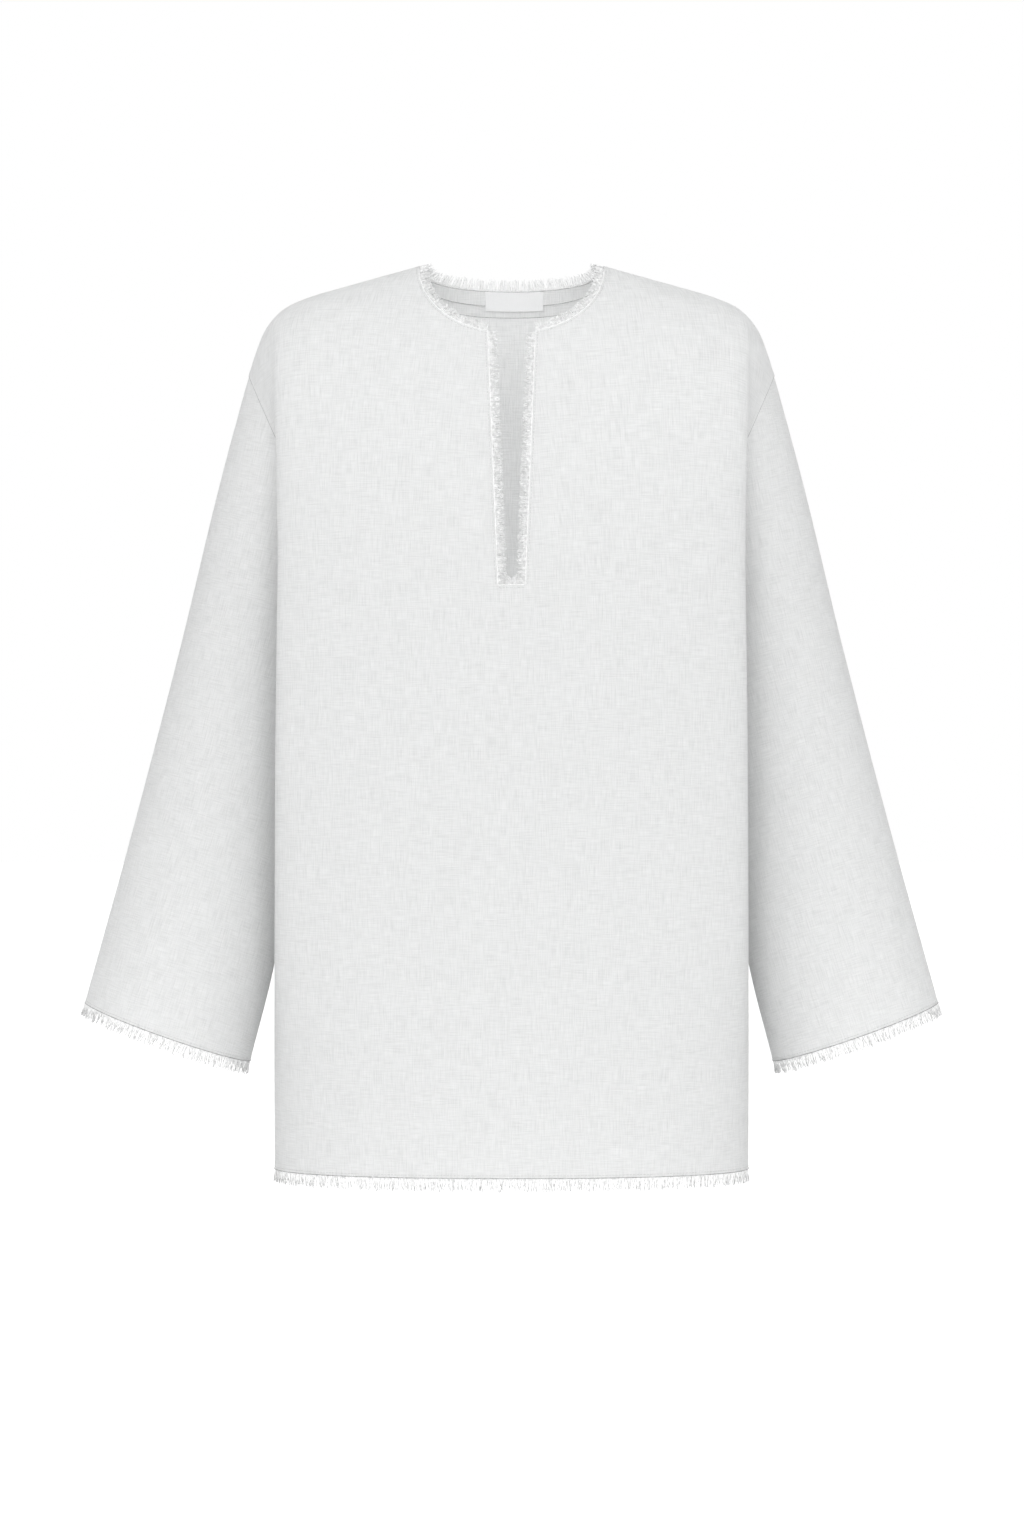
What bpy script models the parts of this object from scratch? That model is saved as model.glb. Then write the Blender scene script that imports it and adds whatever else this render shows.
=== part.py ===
"""A collarless linen tunic shirt, filled out as it is worn, with frayed edges.

The front faces -Y, +Z is up and +X is the wearer's left. The origin lies between the two neck
points, where the shoulder seams reach the neckline. All sizes are in metres.
"""

import math
import random
from collections import namedtuple

import bmesh
import bpy
import numpy as np

CLOTH = 0.0012  # thickness of the linen wall
SEAM_GAP = 0.0003  # left between two pieces along a seam

HEM_Z = -0.786
SLIT_FOOT_Z = -0.283
UNDERARM_Z = -0.260
UNDERARM_X = 0.155
NECK_POINT_X = 0.0805
DROP_X, DROP_Z = 0.229, -0.095  # where the shoulder seam meets the sleeve
ARMHOLE_DEPTH = 0.062  # half the armhole's depth from front to back
ARMHOLE_PINCH = 0.40  # how much shallower it is by the underarm

# Half widths of the slit, which tapers down to its foot.
SLIT_TOP_HALF = 0.0202
SLIT_FOOT_HALF = 0.0112

# The neckline dips from the neck points to the centre front and the centre back. squareness
# says how late the cloth rolls back over the chest or the shoulder blades, at the centre.
Neckline = namedtuple("Neckline", "drop fullness squareness")
FRONT_NECK = Neckline(drop=0.0645, fullness=2.15, squareness=1.7)
BACK_NECK = Neckline(drop=0.0152, fullness=2.15, squareness=2.4)
NECK_CROWN = 0.012  # how high the shoulder line would rise by the centre if it ran on

# Level sections of the body. side_x is the side seam, drawn in beside the sleeve. The front and
# the back each turn at a soft ridge, at ridge_x and front_ridge or back_ridge from the mid-plane.
Level = namedtuple(
    "Level", "z side_x ridge_x front_ridge back_ridge front_depth back_depth fullness"
)
BODY = (
    Level(HEM_Z, 0.2055, 0.2055, 0.020, 0.020, 0.121, 0.110, 2.20),
    Level(-0.700, 0.2045, 0.2050, 0.040, 0.036, 0.122, 0.110, 2.25),
    Level(-0.610, 0.1990, 0.2040, 0.062, 0.056, 0.122, 0.109, 2.30),
    Level(-0.500, 0.1845, 0.2035, 0.072, 0.066, 0.121, 0.107, 2.35),
    Level(-0.400, 0.1705, 0.2028, 0.077, 0.071, 0.120, 0.106, 2.40),
    Level(-0.320, 0.1550, 0.2018, 0.079, 0.073, 0.119, 0.105, 2.40),
    Level(UNDERARM_Z, UNDERARM_X, 0.2010, 0.079, 0.073, 0.118, 0.104, 2.40),
)
ROW_HEIGHTS = (HEM_Z, -0.720, -0.650, -0.580, -0.510, -0.440, -0.380, -0.325, SLIT_FOOT_Z, UNDERARM_Z)
ARM_ROWS = 12  # rows from the underarm up to the shoulder seam

# Columns of points across half a panel, as shares of the half width at the ridge: on the body,
# and at the upper edge. The second of the front's is the slit's edge, and the second of the
# back's the side of the label.
RIDGE_TOP_X = 0.2096  # where the front's ridge runs out on the shoulder seam
LABEL_WIDTH = 0.052
NECK_SHARE = NECK_POINT_X / RIDGE_TOP_X
LABEL_SHARE = LABEL_WIDTH / 2 / RIDGE_TOP_X
Column = namedtuple("Column", "body top")
FRONT_NECK_COLUMNS = (
    Column(0.0, 0.0),
    Column(SLIT_FOOT_HALF / RIDGE_TOP_X, SLIT_TOP_HALF / RIDGE_TOP_X),
    Column(0.135, 0.200),
    Column(0.205, 0.285),
    Column(0.265, 0.345),
    Column(0.315, 0.3715),
    Column(0.352, 0.3812),
    Column(NECK_SHARE, NECK_SHARE),
)
BACK_NECK_COLUMNS = (
    Column(0.0, 0.0),
    Column(LABEL_SHARE, LABEL_SHARE),
    Column(0.210, 0.225),
    Column(0.285, 0.315),
    Column(0.340, 0.365),
    Column(NECK_SHARE, NECK_SHARE),
)
SHOULDER_SHARES = (0.49, 0.60, 0.70, 0.79, 0.86, 0.915, 0.955, 0.982, 0.996, 1.0)
SHOULDER_COLUMNS = tuple(Column(share, share) for share in SHOULDER_SHARES)
RETURN_STEPS = (0.2, 0.4, 0.6, 0.8, 1.0)  # from the ridge in to the side seam or the armhole
RETURN_HASTE = 0.55  # below 1, the return turns inwards close to the ridge

# The shoulder seam, from the neck point over the shoulder's bend to the drop seam.
Spot = namedtuple("Spot", "x z")
SHOULDER = (
    Spot(NECK_POINT_X, 0.0),
    Spot(0.148, -0.0192),
    Spot(0.176, -0.0276),
    Spot(0.199, -0.0384),
    Spot(0.2138, -0.0544),
    Spot(0.223, -0.0760),
    Spot(DROP_X, DROP_Z),
)
SHOULDER_SQUARENESS = 2.6  # how late the panels roll over towards the shoulder seam's end
NECK_PACE = 1.1  # how fast a column rises with the rows, at the neck and at the ridge
RIDGE_PACE = 2.0
RIDGE_LEAN = 2.5

# The sleeve's outer edge runs on from the drop seam, and its inner edge from the underarm.
SLEEVE_OUTER = (
    Spot(DROP_X, DROP_Z),
    Spot(0.2515, -0.178),
    Spot(0.2897, -0.335),
    Spot(0.3309, -0.493),
    Spot(0.3724, -0.643),
)
SLEEVE_INNER = (
    Spot(UNDERARM_X, UNDERARM_Z),
    Spot(0.1605, -0.275),
    Spot(0.1660, -0.300),
    Spot(0.1795, -0.400),
    Spot(0.1935, -0.500),
    Spot(0.2080, -0.610),
    Spot(0.2290, -0.694),
)
SleeveRing = namedtuple("SleeveRing", "down depth")  # share of the sleeve's length, half depth
SLEEVE_DEPTHS = (
    SleeveRing(0.0, ARMHOLE_DEPTH),
    SleeveRing(0.1, 0.055),
    SleeveRing(0.25, 0.052),
    SleeveRing(0.6, 0.058),
    SleeveRing(1.0, 0.070),
)
SLEEVE_RINGS = 14
SLEEVE_PACE = 1.15

# The frayed edges: locks of loose threads on a narrow strip of cloth, parted from the panel.
STRIP = 0.0020
LOCK_PITCH = 0.012
LOCK_ROOT = 0.0052
LOCK_TIP = 0.0012
LOCK_SWAY = 0.0015
LONG_LOCK = 0.0082
SHORT_LOCK = 0.0055
FRINGE_MARGIN = 0.003  # left free at the ends of the neck's and the slit's fringes
# Shares of those lengths at the narrower fringes.
NECK_LOCKS = 0.80
SLIT_LOCKS = 0.60
FOOT_LOCKS = 0.48

# The tape that faces the back neck on the inside, and the blank label over it. The tape is as
# wide as the back's uppermost row of cells, and the label reaches a little below it.
TAPE = 0.0008
LABEL = 0.0008
LABEL_BELOW_TAPE = 0.0045
LABEL_SHIFT = 0.0026  # it is sewn in a little to the wearer's left

LINEN_COLOUR = (0.80, 0.81, 0.80, 1.0)
THREAD_COLOUR = (0.90, 0.90, 0.89, 1.0)
LABEL_COLOUR = (0.92, 0.92, 0.92, 1.0)
CLOTH_ROUGHNESS = 0.9


def clear_scene():
    for thing in list(bpy.data.objects):
        bpy.data.objects.remove(thing, do_unlink=True)


def make_material(name, colour):
    material = bpy.data.materials.new(name)
    material.use_nodes = True
    shader = material.node_tree.nodes["Principled BSDF"]
    shader.inputs["Base Color"].default_value = colour
    shader.inputs["Roughness"].default_value = CLOTH_ROUGHNESS
    shader.inputs["Metallic"].default_value = 0.0
    return material


def unit(vectors):
    return vectors / np.linalg.norm(vectors, axis=-1, keepdims=True)


def square_to(directions, vectors):
    """What is left of the vectors without their part along the directions."""
    return vectors - directions * np.sum(vectors * directions, axis=-1, keepdims=True)


def smooth_value(places, values, at):
    """Read a smooth curve through values, which lie at increasing places."""
    places, values = np.asarray(places, float), np.asarray(values, float)
    slopes = np.gradient(values, places)
    i = int(np.clip(np.searchsorted(places, at) - 1, 0, len(places) - 2))
    span = places[i + 1] - places[i]
    t = (at - places[i]) / span
    start = (2 * t**3 - 3 * t**2 + 1) * values[i] + (t**3 - 2 * t**2 + t) * span * slopes[i]
    end = (3 * t**2 - 2 * t**3) * values[i + 1] + (t**3 - t**2) * span * slopes[i + 1]
    return start + end


def smooth_line(spots, count=200):
    """A dense line of (x, z) through the spots, even in length."""
    spots = np.array(spots)
    reach = np.concatenate(([0.0], np.cumsum(np.linalg.norm(np.diff(spots, axis=0), axis=1))))
    places = np.linspace(0.0, reach[-1], count)
    return np.array([[smooth_value(reach, column, p) for column in spots.T] for p in places])


def at_share(line, share):
    """The point at a share of the length of a dense even line."""
    place = share * (len(line) - 1)
    return np.array([np.interp(place, range(len(line)), column) for column in line.T])


def level_at(z):
    heights = [level.z for level in BODY]
    return Level(z, *(smooth_value(heights, column, z) for column in list(zip(*BODY))[1:]))


def slit_half_width(z, top_z):
    share = min(max((z - SLIT_FOOT_Z) / (top_z - SLIT_FOOT_Z), 0.0), 1.0)
    return SLIT_FOOT_HALF + (SLIT_TOP_HALF - SLIT_FOOT_HALF) * share


def ease(t):
    return t * t * (3 - 2 * t)


def face_depth(level, ridge, depth, x):
    """How far a level section stands off the mid-plane at x, between the centre and the ridge."""
    share = min(x / level.ridge_x, 1.0)
    return ridge + (depth - ridge) * (1 - share**level.fullness) ** (1 / level.fullness)


def level_row(z, way, columns):
    """Half a level section: the face out to the ridge, then the return to the side seam.

    way is -1 for the front and 1 for the back.
    """
    level = level_at(z)
    ridge = level.front_ridge if way < 0 else level.back_ridge
    depth = level.front_depth if way < 0 else level.back_depth
    across = [column.body * level.ridge_x for column in columns]
    row = [(x, way * face_depth(level, ridge, depth, x), z) for x in across]
    for t in RETURN_STEPS:
        inwards = ease(t**RETURN_HASTE)
        row.append(
            (level.ridge_x + (level.side_x - level.ridge_x) * inwards, way * ridge * (1 - t), z)
        )
    return row


def neckline_z(neck, x):
    share = x / NECK_POINT_X
    return -neck.drop * (1 - share**neck.fullness) ** (1 / neck.fullness)


def top_line(columns, shoulder):
    """The shoulder line over each column, run on across the neck, and out to the drop seam."""
    ridge_share = np.interp(RIDGE_TOP_X, shoulder[:, 0], np.linspace(0, 1, len(shoulder)))
    line = []
    for column in columns:
        x = column.top * RIDGE_TOP_X
        z = np.interp(x, shoulder[:, 0], shoulder[:, 1])
        if column.top < NECK_SHARE:
            z = NECK_CROWN * (1 - (column.top / NECK_SHARE) ** 2)
        line.append((x, 0.0, z))
    for t in RETURN_STEPS:
        x, z = at_share(shoulder, ridge_share + (1 - ridge_share) * t)
        line.append((x, 0.0, z))
    return line


def ring_place(angle, pinch):
    """Where a point of an armhole or sleeve ring lies, as shares of its width and half depth.

    angle runs from 0 at the outer edge to pi at the inner edge, by which the ring is pinched.
    """
    outwards = (1 + math.cos(angle)) / 2
    return outwards, math.sin(angle) * (1 - pinch * (1 - outwards) ** 2)


def armhole(w, way):
    """A point on the armhole, from the underarm at w = 0 to the drop seam at w = 1."""
    outwards, forwards = ring_place(math.pi * (1 - w), ARMHOLE_PINCH)
    x = UNDERARM_X + (DROP_X - UNDERARM_X) * outwards
    z = UNDERARM_Z + (DROP_Z - UNDERARM_Z) * outwards
    return np.array([x, way * ARMHOLE_DEPTH * forwards, z])


def rolled(base, top, turn, power, w, pace):
    """A point of the profile that rises from base and rolls back towards top, turning by turn."""
    angle = turn * w**pace
    over = 1 - max(math.cos(angle), 0.0) ** power
    return base + (top - base) * np.array([w**RIDGE_LEAN, over, math.sin(angle) ** power])


def half_panel(way, neck, neck_columns, shoulder):
    """Rows of points from the hem to the upper edge, each from the centre line to the side."""
    columns = neck_columns + SHOULDER_COLUMNS
    rows = [level_row(z, way, columns) for z in ROW_HEIGHTS]
    base, top = np.array(rows[-1]), np.array(top_line(columns, shoulder))
    ridge = len(columns) - 1
    profiles = []
    for i, column in enumerate(columns):
        outwards = column.top**2
        power = 2 / (neck.squareness + (SHOULDER_SQUARENESS - neck.squareness) * outwards)
        turn = math.pi / 2
        if column.top < NECK_SHARE:
            rise = (neckline_z(neck, top[i][0]) - base[i][2]) / (top[i][2] - base[i][2])
            turn = math.asin(rise ** (1 / power))
        pace = NECK_PACE + (RIDGE_PACE - NECK_PACE) * outwards
        profiles.append((base[i], top[i], turn, power, pace))
    for step in range(1, ARM_ROWS + 1):
        w = step / ARM_ROWS
        row = [rolled(b, t, turn, power, w, pace) for b, t, turn, power, pace in profiles]
        arm = armhole(w, way)
        up = 1 - (1 - w) ** 2
        for i, t in enumerate(RETURN_STEPS, ridge + 1):
            between = (1 - t) * row[ridge] + t * arm
            below = base[i] - (1 - t) * base[ridge] - t * base[-1]
            above = top[i] - (1 - t) * top[ridge] - t * top[-1]
            row.append(between + (1 - up) * below + up * above)
        rows.append(row)
    return soften(np.array(rows, float), len(neck_columns), ridge + 2)


def soften(points, first, last, passes=3):
    """Even out the turn at the ridge, between two columns, with the edges left where they are."""
    for _ in range(passes):
        beside = points[1:-1, first - 1 : last] + points[1:-1, first + 1 : last + 2]
        points[1:-1, first : last + 1] = points[1:-1, first : last + 1] / 2 + beside / 4
    return points


class Sheet:
    """A grid of points down the middle of a piece of cloth, and the way out at each point.

    holes are the cells that are left out, as (row, column) of their lower corner.
    """

    def __init__(self, points, normal, closed=False, holes=()):
        self.points, self.normal, self.closed, self.holes = points, normal, closed, set(holes)
        self.shift = np.zeros_like(points)


def ways_out(points, sign, closed=False):
    """The way out of the garment at each point of a grid."""
    across = np.gradient(points, axis=1)
    if closed:
        across = np.roll(points, -1, 1) - np.roll(points, 1, 1)
    return unit(np.cross(across, np.gradient(points, axis=0))) * sign


def join(first, second, normal_only=False):
    """Give two edges that are sewn together one mitre, with the seam's gap between them.

    Each edge is (sheet, the edge's indexes, the indexes of the points just inside it).
    """
    (a, edge_a, in_a), (b, edge_b, in_b) = first, second
    along = unit(np.gradient(a.points[edge_a], axis=0))
    into_a = unit(square_to(along, a.points[in_a] - a.points[edge_a]))
    into_b = unit(square_to(along, b.points[in_b] - b.points[edge_b]))
    mitre = a.normal[edge_a] + b.normal[edge_b]
    if not normal_only:
        mitre = mitre + into_a + into_b
    mitre = unit(mitre)
    apart = unit(square_to(mitre, into_a - into_b))
    a.normal[edge_a] = b.normal[edge_b] = mitre
    a.shift[edge_a] += apart * SEAM_GAP / 2
    b.shift[edge_b] -= apart * SEAM_GAP / 2


def make_panel(way, neck, neck_columns, shoulder, slit):
    half = half_panel(way, neck, neck_columns, shoulder)
    middle = half.shape[1] - 1
    holes = []
    if slit:
        foot = ROW_HEIGHTS.index(SLIT_FOOT_Z)
        top_z = half[-1, 1, 2]
        for row in half:
            row[1, 0] = slit_half_width(row[1, 2], top_z)
        holes = [(r, c) for r in range(foot, len(half) - 1) for c in (middle - 1, middle)]
    mirrored = half[:, :0:-1] * np.array([-1.0, 1.0, 1.0])
    points = np.concatenate((mirrored, half), axis=1)
    return Sheet(points, ways_out(points, -way), holes=holes)


def make_sleeve(side):
    """A sleeve as rings from the armhole to the cuff. side is 1 for the wearer's left."""
    outer, inner = smooth_line(SLEEVE_OUTER), smooth_line(SLEEVE_INNER)
    down = [ring.down for ring in SLEEVE_DEPTHS]
    depths = [ring.depth for ring in SLEEVE_DEPTHS]
    rings = []
    for k in range(SLEEVE_RINGS + 1):
        share = (k / SLEEVE_RINGS) ** SLEEVE_PACE
        depth = smooth_value(down, depths, share)
        (outer_x, outer_z), (inner_x, inner_z) = at_share(outer, share), at_share(inner, share)
        ring = []
        for i in range(2 * ARM_ROWS):
            pinch = ARMHOLE_PINCH * (1 - share)
            outwards, forwards = ring_place(math.pi * (1 - i / ARM_ROWS), pinch)
            x = inner_x + (outer_x - inner_x) * outwards
            z = inner_z + (outer_z - inner_z) * outwards
            ring.append((side * x, -depth * forwards, z))
        rings.append(ring)
    rings = np.array(rings)
    return Sheet(rings, ways_out(rings, -side, closed=True), closed=True)


def join_all(front, back, sleeves):
    """Sew the panels to each other at the sides and shoulders, and to the sleeves."""
    underarm = len(ROW_HEIGHTS) - 1
    side_rows = np.arange(underarm + 1)
    for side in (1, -1):
        edge, inside = (-1, -2) if side > 0 else (0, 1)
        join(
            (front, (side_rows, edge), (side_rows, inside)),
            (back, (side_rows, edge), (side_rows, inside)),
            normal_only=True,
        )
        seam = len(SHOULDER_COLUMNS) + len(RETURN_STEPS) + 1
        run = np.arange(-1, -seam - 1, -1) if side > 0 else np.arange(seam)
        join((front, (-1, run), (-2, run)), (back, (-1, run), (-2, run)), normal_only=True)
        sleeve = sleeves[side]
        arm_rows = underarm + np.arange(ARM_ROWS + 1)
        around = 2 * ARM_ROWS
        to_front = np.arange(ARM_ROWS + 1)
        to_back = (around - to_front) % around
        join(
            (front, (arm_rows, edge), (arm_rows, inside)),
            (sleeve, (0, to_front), (1, to_front)),
        )
        join(
            (back, (arm_rows, edge), (arm_rows, inside)),
            (sleeve, (0, to_back), (1, to_back)),
        )
        down, out = np.array([0.0, 0.0, -1.0]), front.normal[-1, edge].copy()
        across = np.array([float(side), 0.0, 0.0])
        onwards = unit(sleeve.points[1, ARM_ROWS] - sleeve.points[0, ARM_ROWS])
        meet(front, back, sleeve, (underarm, edge), 0, down, across)
        meet(front, back, sleeve, (-1, edge), ARM_ROWS, out, onwards)


def meet(front, back, sleeve, spot, place, normal, onwards):
    """Part the three pieces where they meet. onwards is the way that the sleeve is moved."""
    sleeve.normal[0, place] = normal
    sleeve.shift[0, place] = onwards * SEAM_GAP / 2
    for sheet, way in ((front, -1), (back, 1)):
        sheet.normal[spot] = normal
        sheet.shift[spot] = np.array([0.0, way * SEAM_GAP / 2, 0.0]) - onwards * SEAM_GAP / 2


def add_object(name, verts, faces, material):
    mesh = bpy.data.meshes.new(name)
    bm = bmesh.new()
    corners = [bm.verts.new(v) for v in verts]
    for face in faces:
        bm.faces.new([corners[i] for i in face])
    bmesh.ops.recalc_face_normals(bm, faces=bm.faces)
    for face in bm.faces:
        face.smooth = True
    bm.to_mesh(mesh)
    bm.free()
    mesh.materials.append(material)
    thing = bpy.data.objects.new(name, mesh)
    bpy.context.scene.collection.objects.link(thing)
    return thing


def add_wall(name, sheet, near, far, material):
    """Make a sheet a closed wall, between two heights above its middle.

    Each cell is split along its shorter diagonal, alike on both faces.
    """
    rows, columns = sheet.points.shape[:2]
    cells = columns if sheet.closed else columns - 1
    middle = sheet.points + sheet.shift
    heights = (far, near)
    verts, faces, index, rims = [], [], {}, {}

    def corner(spot, face):
        if (spot, face) not in index:
            index[spot, face] = len(verts)
            verts.append(middle[spot] + sheet.normal[spot] * heights[face])
        return index[spot, face]

    for r in range(rows - 1):
        for c in range(cells):
            if (r, c) in sheet.holes:
                continue
            right = (c + 1) % columns
            a, b, d, e = (r, c), (r, right), (r + 1, right), (r + 1, c)
            if np.linalg.norm(middle[a] - middle[d]) < np.linalg.norm(middle[b] - middle[e]):
                halves = ((a, b, d), (a, d, e))
            else:
                halves = ((a, b, e), (b, d, e))
            for half in halves:
                faces.append([corner(spot, 0) for spot in half])
                faces.append([corner(spot, 1) for spot in reversed(half)])
            for side in ((a, b), (b, d), (d, e), (e, a)):
                key = frozenset(side)
                rims[key] = None if key in rims else side
    for a, b in filter(None, rims.values()):
        faces.append([corner(b, 0), corner(a, 0), corner(a, 1), corner(b, 1)])
    return add_object(name, verts, faces, material)


def edge_of(sheet, edge, inside):
    """The points, the way off the cloth and the way out along an edge of a sheet."""
    points, out = sheet.points[edge] + sheet.shift[edge], sheet.normal[edge]
    if sheet.closed:
        along = np.roll(points, -1, 0) - np.roll(points, 1, 0)
    else:
        along = np.gradient(points, axis=0)
    away = unit(np.cross(along, out))
    towards = np.sum(away * (points - sheet.points[inside]), axis=-1, keepdims=True)
    return points, away * np.sign(towards), out


def add_fringe(name, edge, material, seed, closed=False, margin=FRINGE_MARGIN, lengths=1.0):
    """Locks of loose threads on a narrow strip that runs just off a cloth edge."""
    points, away, out = edge
    if closed:
        points, away, out = (np.concatenate((part, part[:1])) for part in edge)
    reach = np.concatenate(([0.0], np.cumsum(np.linalg.norm(np.diff(points, axis=0), axis=1))))
    length = reach[-1] - 2 * margin
    count = max(round(length / LOCK_PITCH), 2)
    pitch = length / count
    places = []
    for i in range(count):
        middle = margin + (i + 0.5) * pitch
        places += [middle - LOCK_ROOT / 2, middle + LOCK_ROOT / 2]
    if not closed:
        places = [margin] + places + [reach[-1] - margin]

    def read(values, place):
        return np.array([np.interp(place, reach, column) for column in values.T])

    chance = random.Random(seed)
    verts, faces = [], []
    for place in places:
        spot = read(points, place)
        off, face = unit(read(away, place)), unit(read(out, place))
        for height in (SEAM_GAP, SEAM_GAP + STRIP):
            for lift in (-CLOTH / 2, CLOTH / 2):
                verts.append(spot + off * height + face * lift)
    stations = len(places)
    spans = stations if closed else stations - 1
    for i in range(spans):
        a, b = 4 * i, 4 * ((i + 1) % stations)
        faces += [[a, b, b + 1, a + 1], [a, a + 2, b + 2, b], [a + 1, b + 1, b + 3, a + 3]]
        is_root = i % 2 == (0 if closed else 1)
        if not is_root:
            faces.append([a + 2, a + 3, b + 3, b + 2])
            continue
        root = [a + 2, a + 3, b + 3, b + 2]
        across = unit(verts[b + 2] - verts[a + 2])
        off = unit(verts[a + 2] - verts[a] + verts[b + 2] - verts[b])
        middle = sum(verts[j] for j in root) / 4
        tip = middle + off * chance.uniform(SHORT_LOCK, LONG_LOCK) * lengths
        tip = tip + across * chance.uniform(-LOCK_SWAY, LOCK_SWAY)
        verts += [tip - across * LOCK_TIP / 2, tip + across * LOCK_TIP / 2]
        near, far = len(verts) - 2, len(verts) - 1
        faces += [[a + 2, a + 3, near], [b + 3, b + 2, far]]
        faces += [[a + 3, b + 3, far, near], [b + 2, a + 2, near, far]]
    if not closed:
        last = 4 * (stations - 1)
        faces += [[0, 1, 3, 2], [last, last + 2, last + 3, last + 1]]
    return add_object(name, verts, faces, material)


def add_fringes(front, back, sleeves, material):
    for seed, name, sheet in ((1, "front", front), (2, "back", back)):
        everywhere = np.arange(sheet.points.shape[1])
        hem = edge_of(sheet, (0, everywhere), (1, everywhere))
        add_fringe(f"hem_fringe_{name}", hem, material, seed, margin=SEAM_GAP)
    around = np.arange(2 * ARM_ROWS)
    for seed, side, name in ((3, 1, "left"), (4, -1, "right")):
        cuff = edge_of(sleeves[side], (-1, around), (-2, around))
        add_fringe(f"cuff_fringe_{name}", cuff, material, seed, closed=True, margin=0.0)
    middle, neck = front.points.shape[1] // 2, len(FRONT_NECK_COLUMNS)
    foot = ROW_HEIGHTS.index(SLIT_FOOT_Z)
    slit_rows = np.arange(foot, len(front.points))
    for seed, side, name in ((5, 1, "left"), (6, -1, "right")):
        run = middle + side * np.arange(1, neck)
        neckline = edge_of(front, (-1, run), (-2, run))
        add_fringe(f"neck_fringe_{name}", neckline, material, seed, lengths=NECK_LOCKS)
        slit = edge_of(front, (slit_rows, middle + side), (slit_rows, middle + 2 * side))
        add_fringe(f"slit_fringe_{name}", slit, material, seed + 2, lengths=SLIT_LOCKS)
    run = middle + np.arange(-1, 2)
    foot_edge = edge_of(front, (foot, run), (foot - 1, run))
    add_fringe("slit_fringe_foot", foot_edge, material, 9, lengths=FOOT_LOCKS)
    middle, neck = back.points.shape[1] // 2, len(BACK_NECK_COLUMNS)
    run = middle + np.arange(1 - neck, neck)
    neckline = edge_of(back, (-1, run), (-2, run))
    add_fringe("neck_fringe_back", neckline, material, 10, lengths=NECK_LOCKS)


def add_tape_and_label(back, linen, white):
    """What lies on the inside of the back neck, made from the back's own points."""
    middle = back.points.shape[1] // 2
    reach = len(BACK_NECK_COLUMNS) - 1
    neck = slice(middle - reach, middle + reach + 1)
    under = -CLOTH / 2 - SEAM_GAP
    tape = Sheet(back.points[-2:, neck], back.normal[-2:, neck])
    add_wall("neck_tape", tape, under - TAPE, under, linen)
    beside = slice(middle - 1, middle + 2)
    points, normal = back.points[-3:, beside].copy(), back.normal[-3:, beside].copy()
    row_height = np.linalg.norm(points[1, 1] - points[0, 1])
    share = LABEL_BELOW_TAPE / row_height
    points[0] = points[1] + (points[0] - points[1]) * share
    normal[0] = unit(normal[1] + (normal[0] - normal[1]) * share)
    points[:, :, 0] += LABEL_SHIFT
    under = under - TAPE - SEAM_GAP
    add_wall("neck_label", Sheet(points, normal), under - LABEL, under, white)


def main():
    clear_scene()
    linen = make_material("linen", LINEN_COLOUR)
    thread = make_material("loose_thread", THREAD_COLOUR)
    white = make_material("woven_label", LABEL_COLOUR)
    shoulder = smooth_line(SHOULDER)
    front = make_panel(-1, FRONT_NECK, FRONT_NECK_COLUMNS, shoulder, slit=True)
    back = make_panel(1, BACK_NECK, BACK_NECK_COLUMNS, shoulder, slit=False)
    sleeves = {side: make_sleeve(side) for side in (1, -1)}
    join_all(front, back, sleeves)
    half = CLOTH / 2
    add_wall("front", front, -half, half, linen)
    add_wall("back", back, -half, half, linen)
    add_wall("sleeve_left", sleeves[1], -half, half, linen)
    add_wall("sleeve_right", sleeves[-1], -half, half, linen)
    add_fringes(front, back, sleeves, thread)
    add_tape_and_label(back, linen, white)


main()
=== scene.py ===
"""Dresses the linen shirt: woven cloth, lapped seams, turned edges, sewing, frayed threads.

The front faces -Y, +Z is up and +X is the wearer's left. All sizes are in metres.
"""

import math
import random
from collections import namedtuple

import bmesh
import bpy
import numpy as np
from bpy.props import FloatProperty, FloatVectorProperty, IntProperty, PointerProperty
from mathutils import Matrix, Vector


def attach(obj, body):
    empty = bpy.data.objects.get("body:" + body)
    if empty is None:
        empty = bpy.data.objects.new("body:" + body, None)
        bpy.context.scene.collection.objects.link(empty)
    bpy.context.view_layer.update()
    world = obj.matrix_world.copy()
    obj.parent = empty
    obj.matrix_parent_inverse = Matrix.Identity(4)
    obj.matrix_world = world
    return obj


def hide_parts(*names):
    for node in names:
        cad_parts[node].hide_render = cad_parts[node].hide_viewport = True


bl_info = {
    "name": "Linen shirt",
    "version": (1, 0, 0),
    "blender": (4, 5, 0),
    "location": "View3D > Sidebar > Shirt",
    "description": "Makes the cloth, the sewing and the frayed edges of a linen tunic shirt",
    "category": "Object",
}

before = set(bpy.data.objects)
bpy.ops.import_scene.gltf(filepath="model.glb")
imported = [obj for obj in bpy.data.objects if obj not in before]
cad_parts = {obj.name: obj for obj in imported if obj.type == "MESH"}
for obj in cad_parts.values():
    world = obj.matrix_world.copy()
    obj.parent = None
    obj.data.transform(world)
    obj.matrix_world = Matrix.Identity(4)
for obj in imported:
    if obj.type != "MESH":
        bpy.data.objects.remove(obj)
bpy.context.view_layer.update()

# The shirt's cut and worn form

HEM_Z = -0.786
SLIT_FOOT_Z = -0.283
UNDERARM_X, UNDERARM_Z = 0.155, -0.260
NECK_POINT_X = 0.0805
DROP_X, DROP_Z = 0.229, -0.095
ARMHOLE_DEPTH = 0.062
ARMHOLE_PINCH = 0.40
SLIT_TOP_HALF = 0.0202
SLIT_FOOT_HALF = 0.0112

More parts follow.
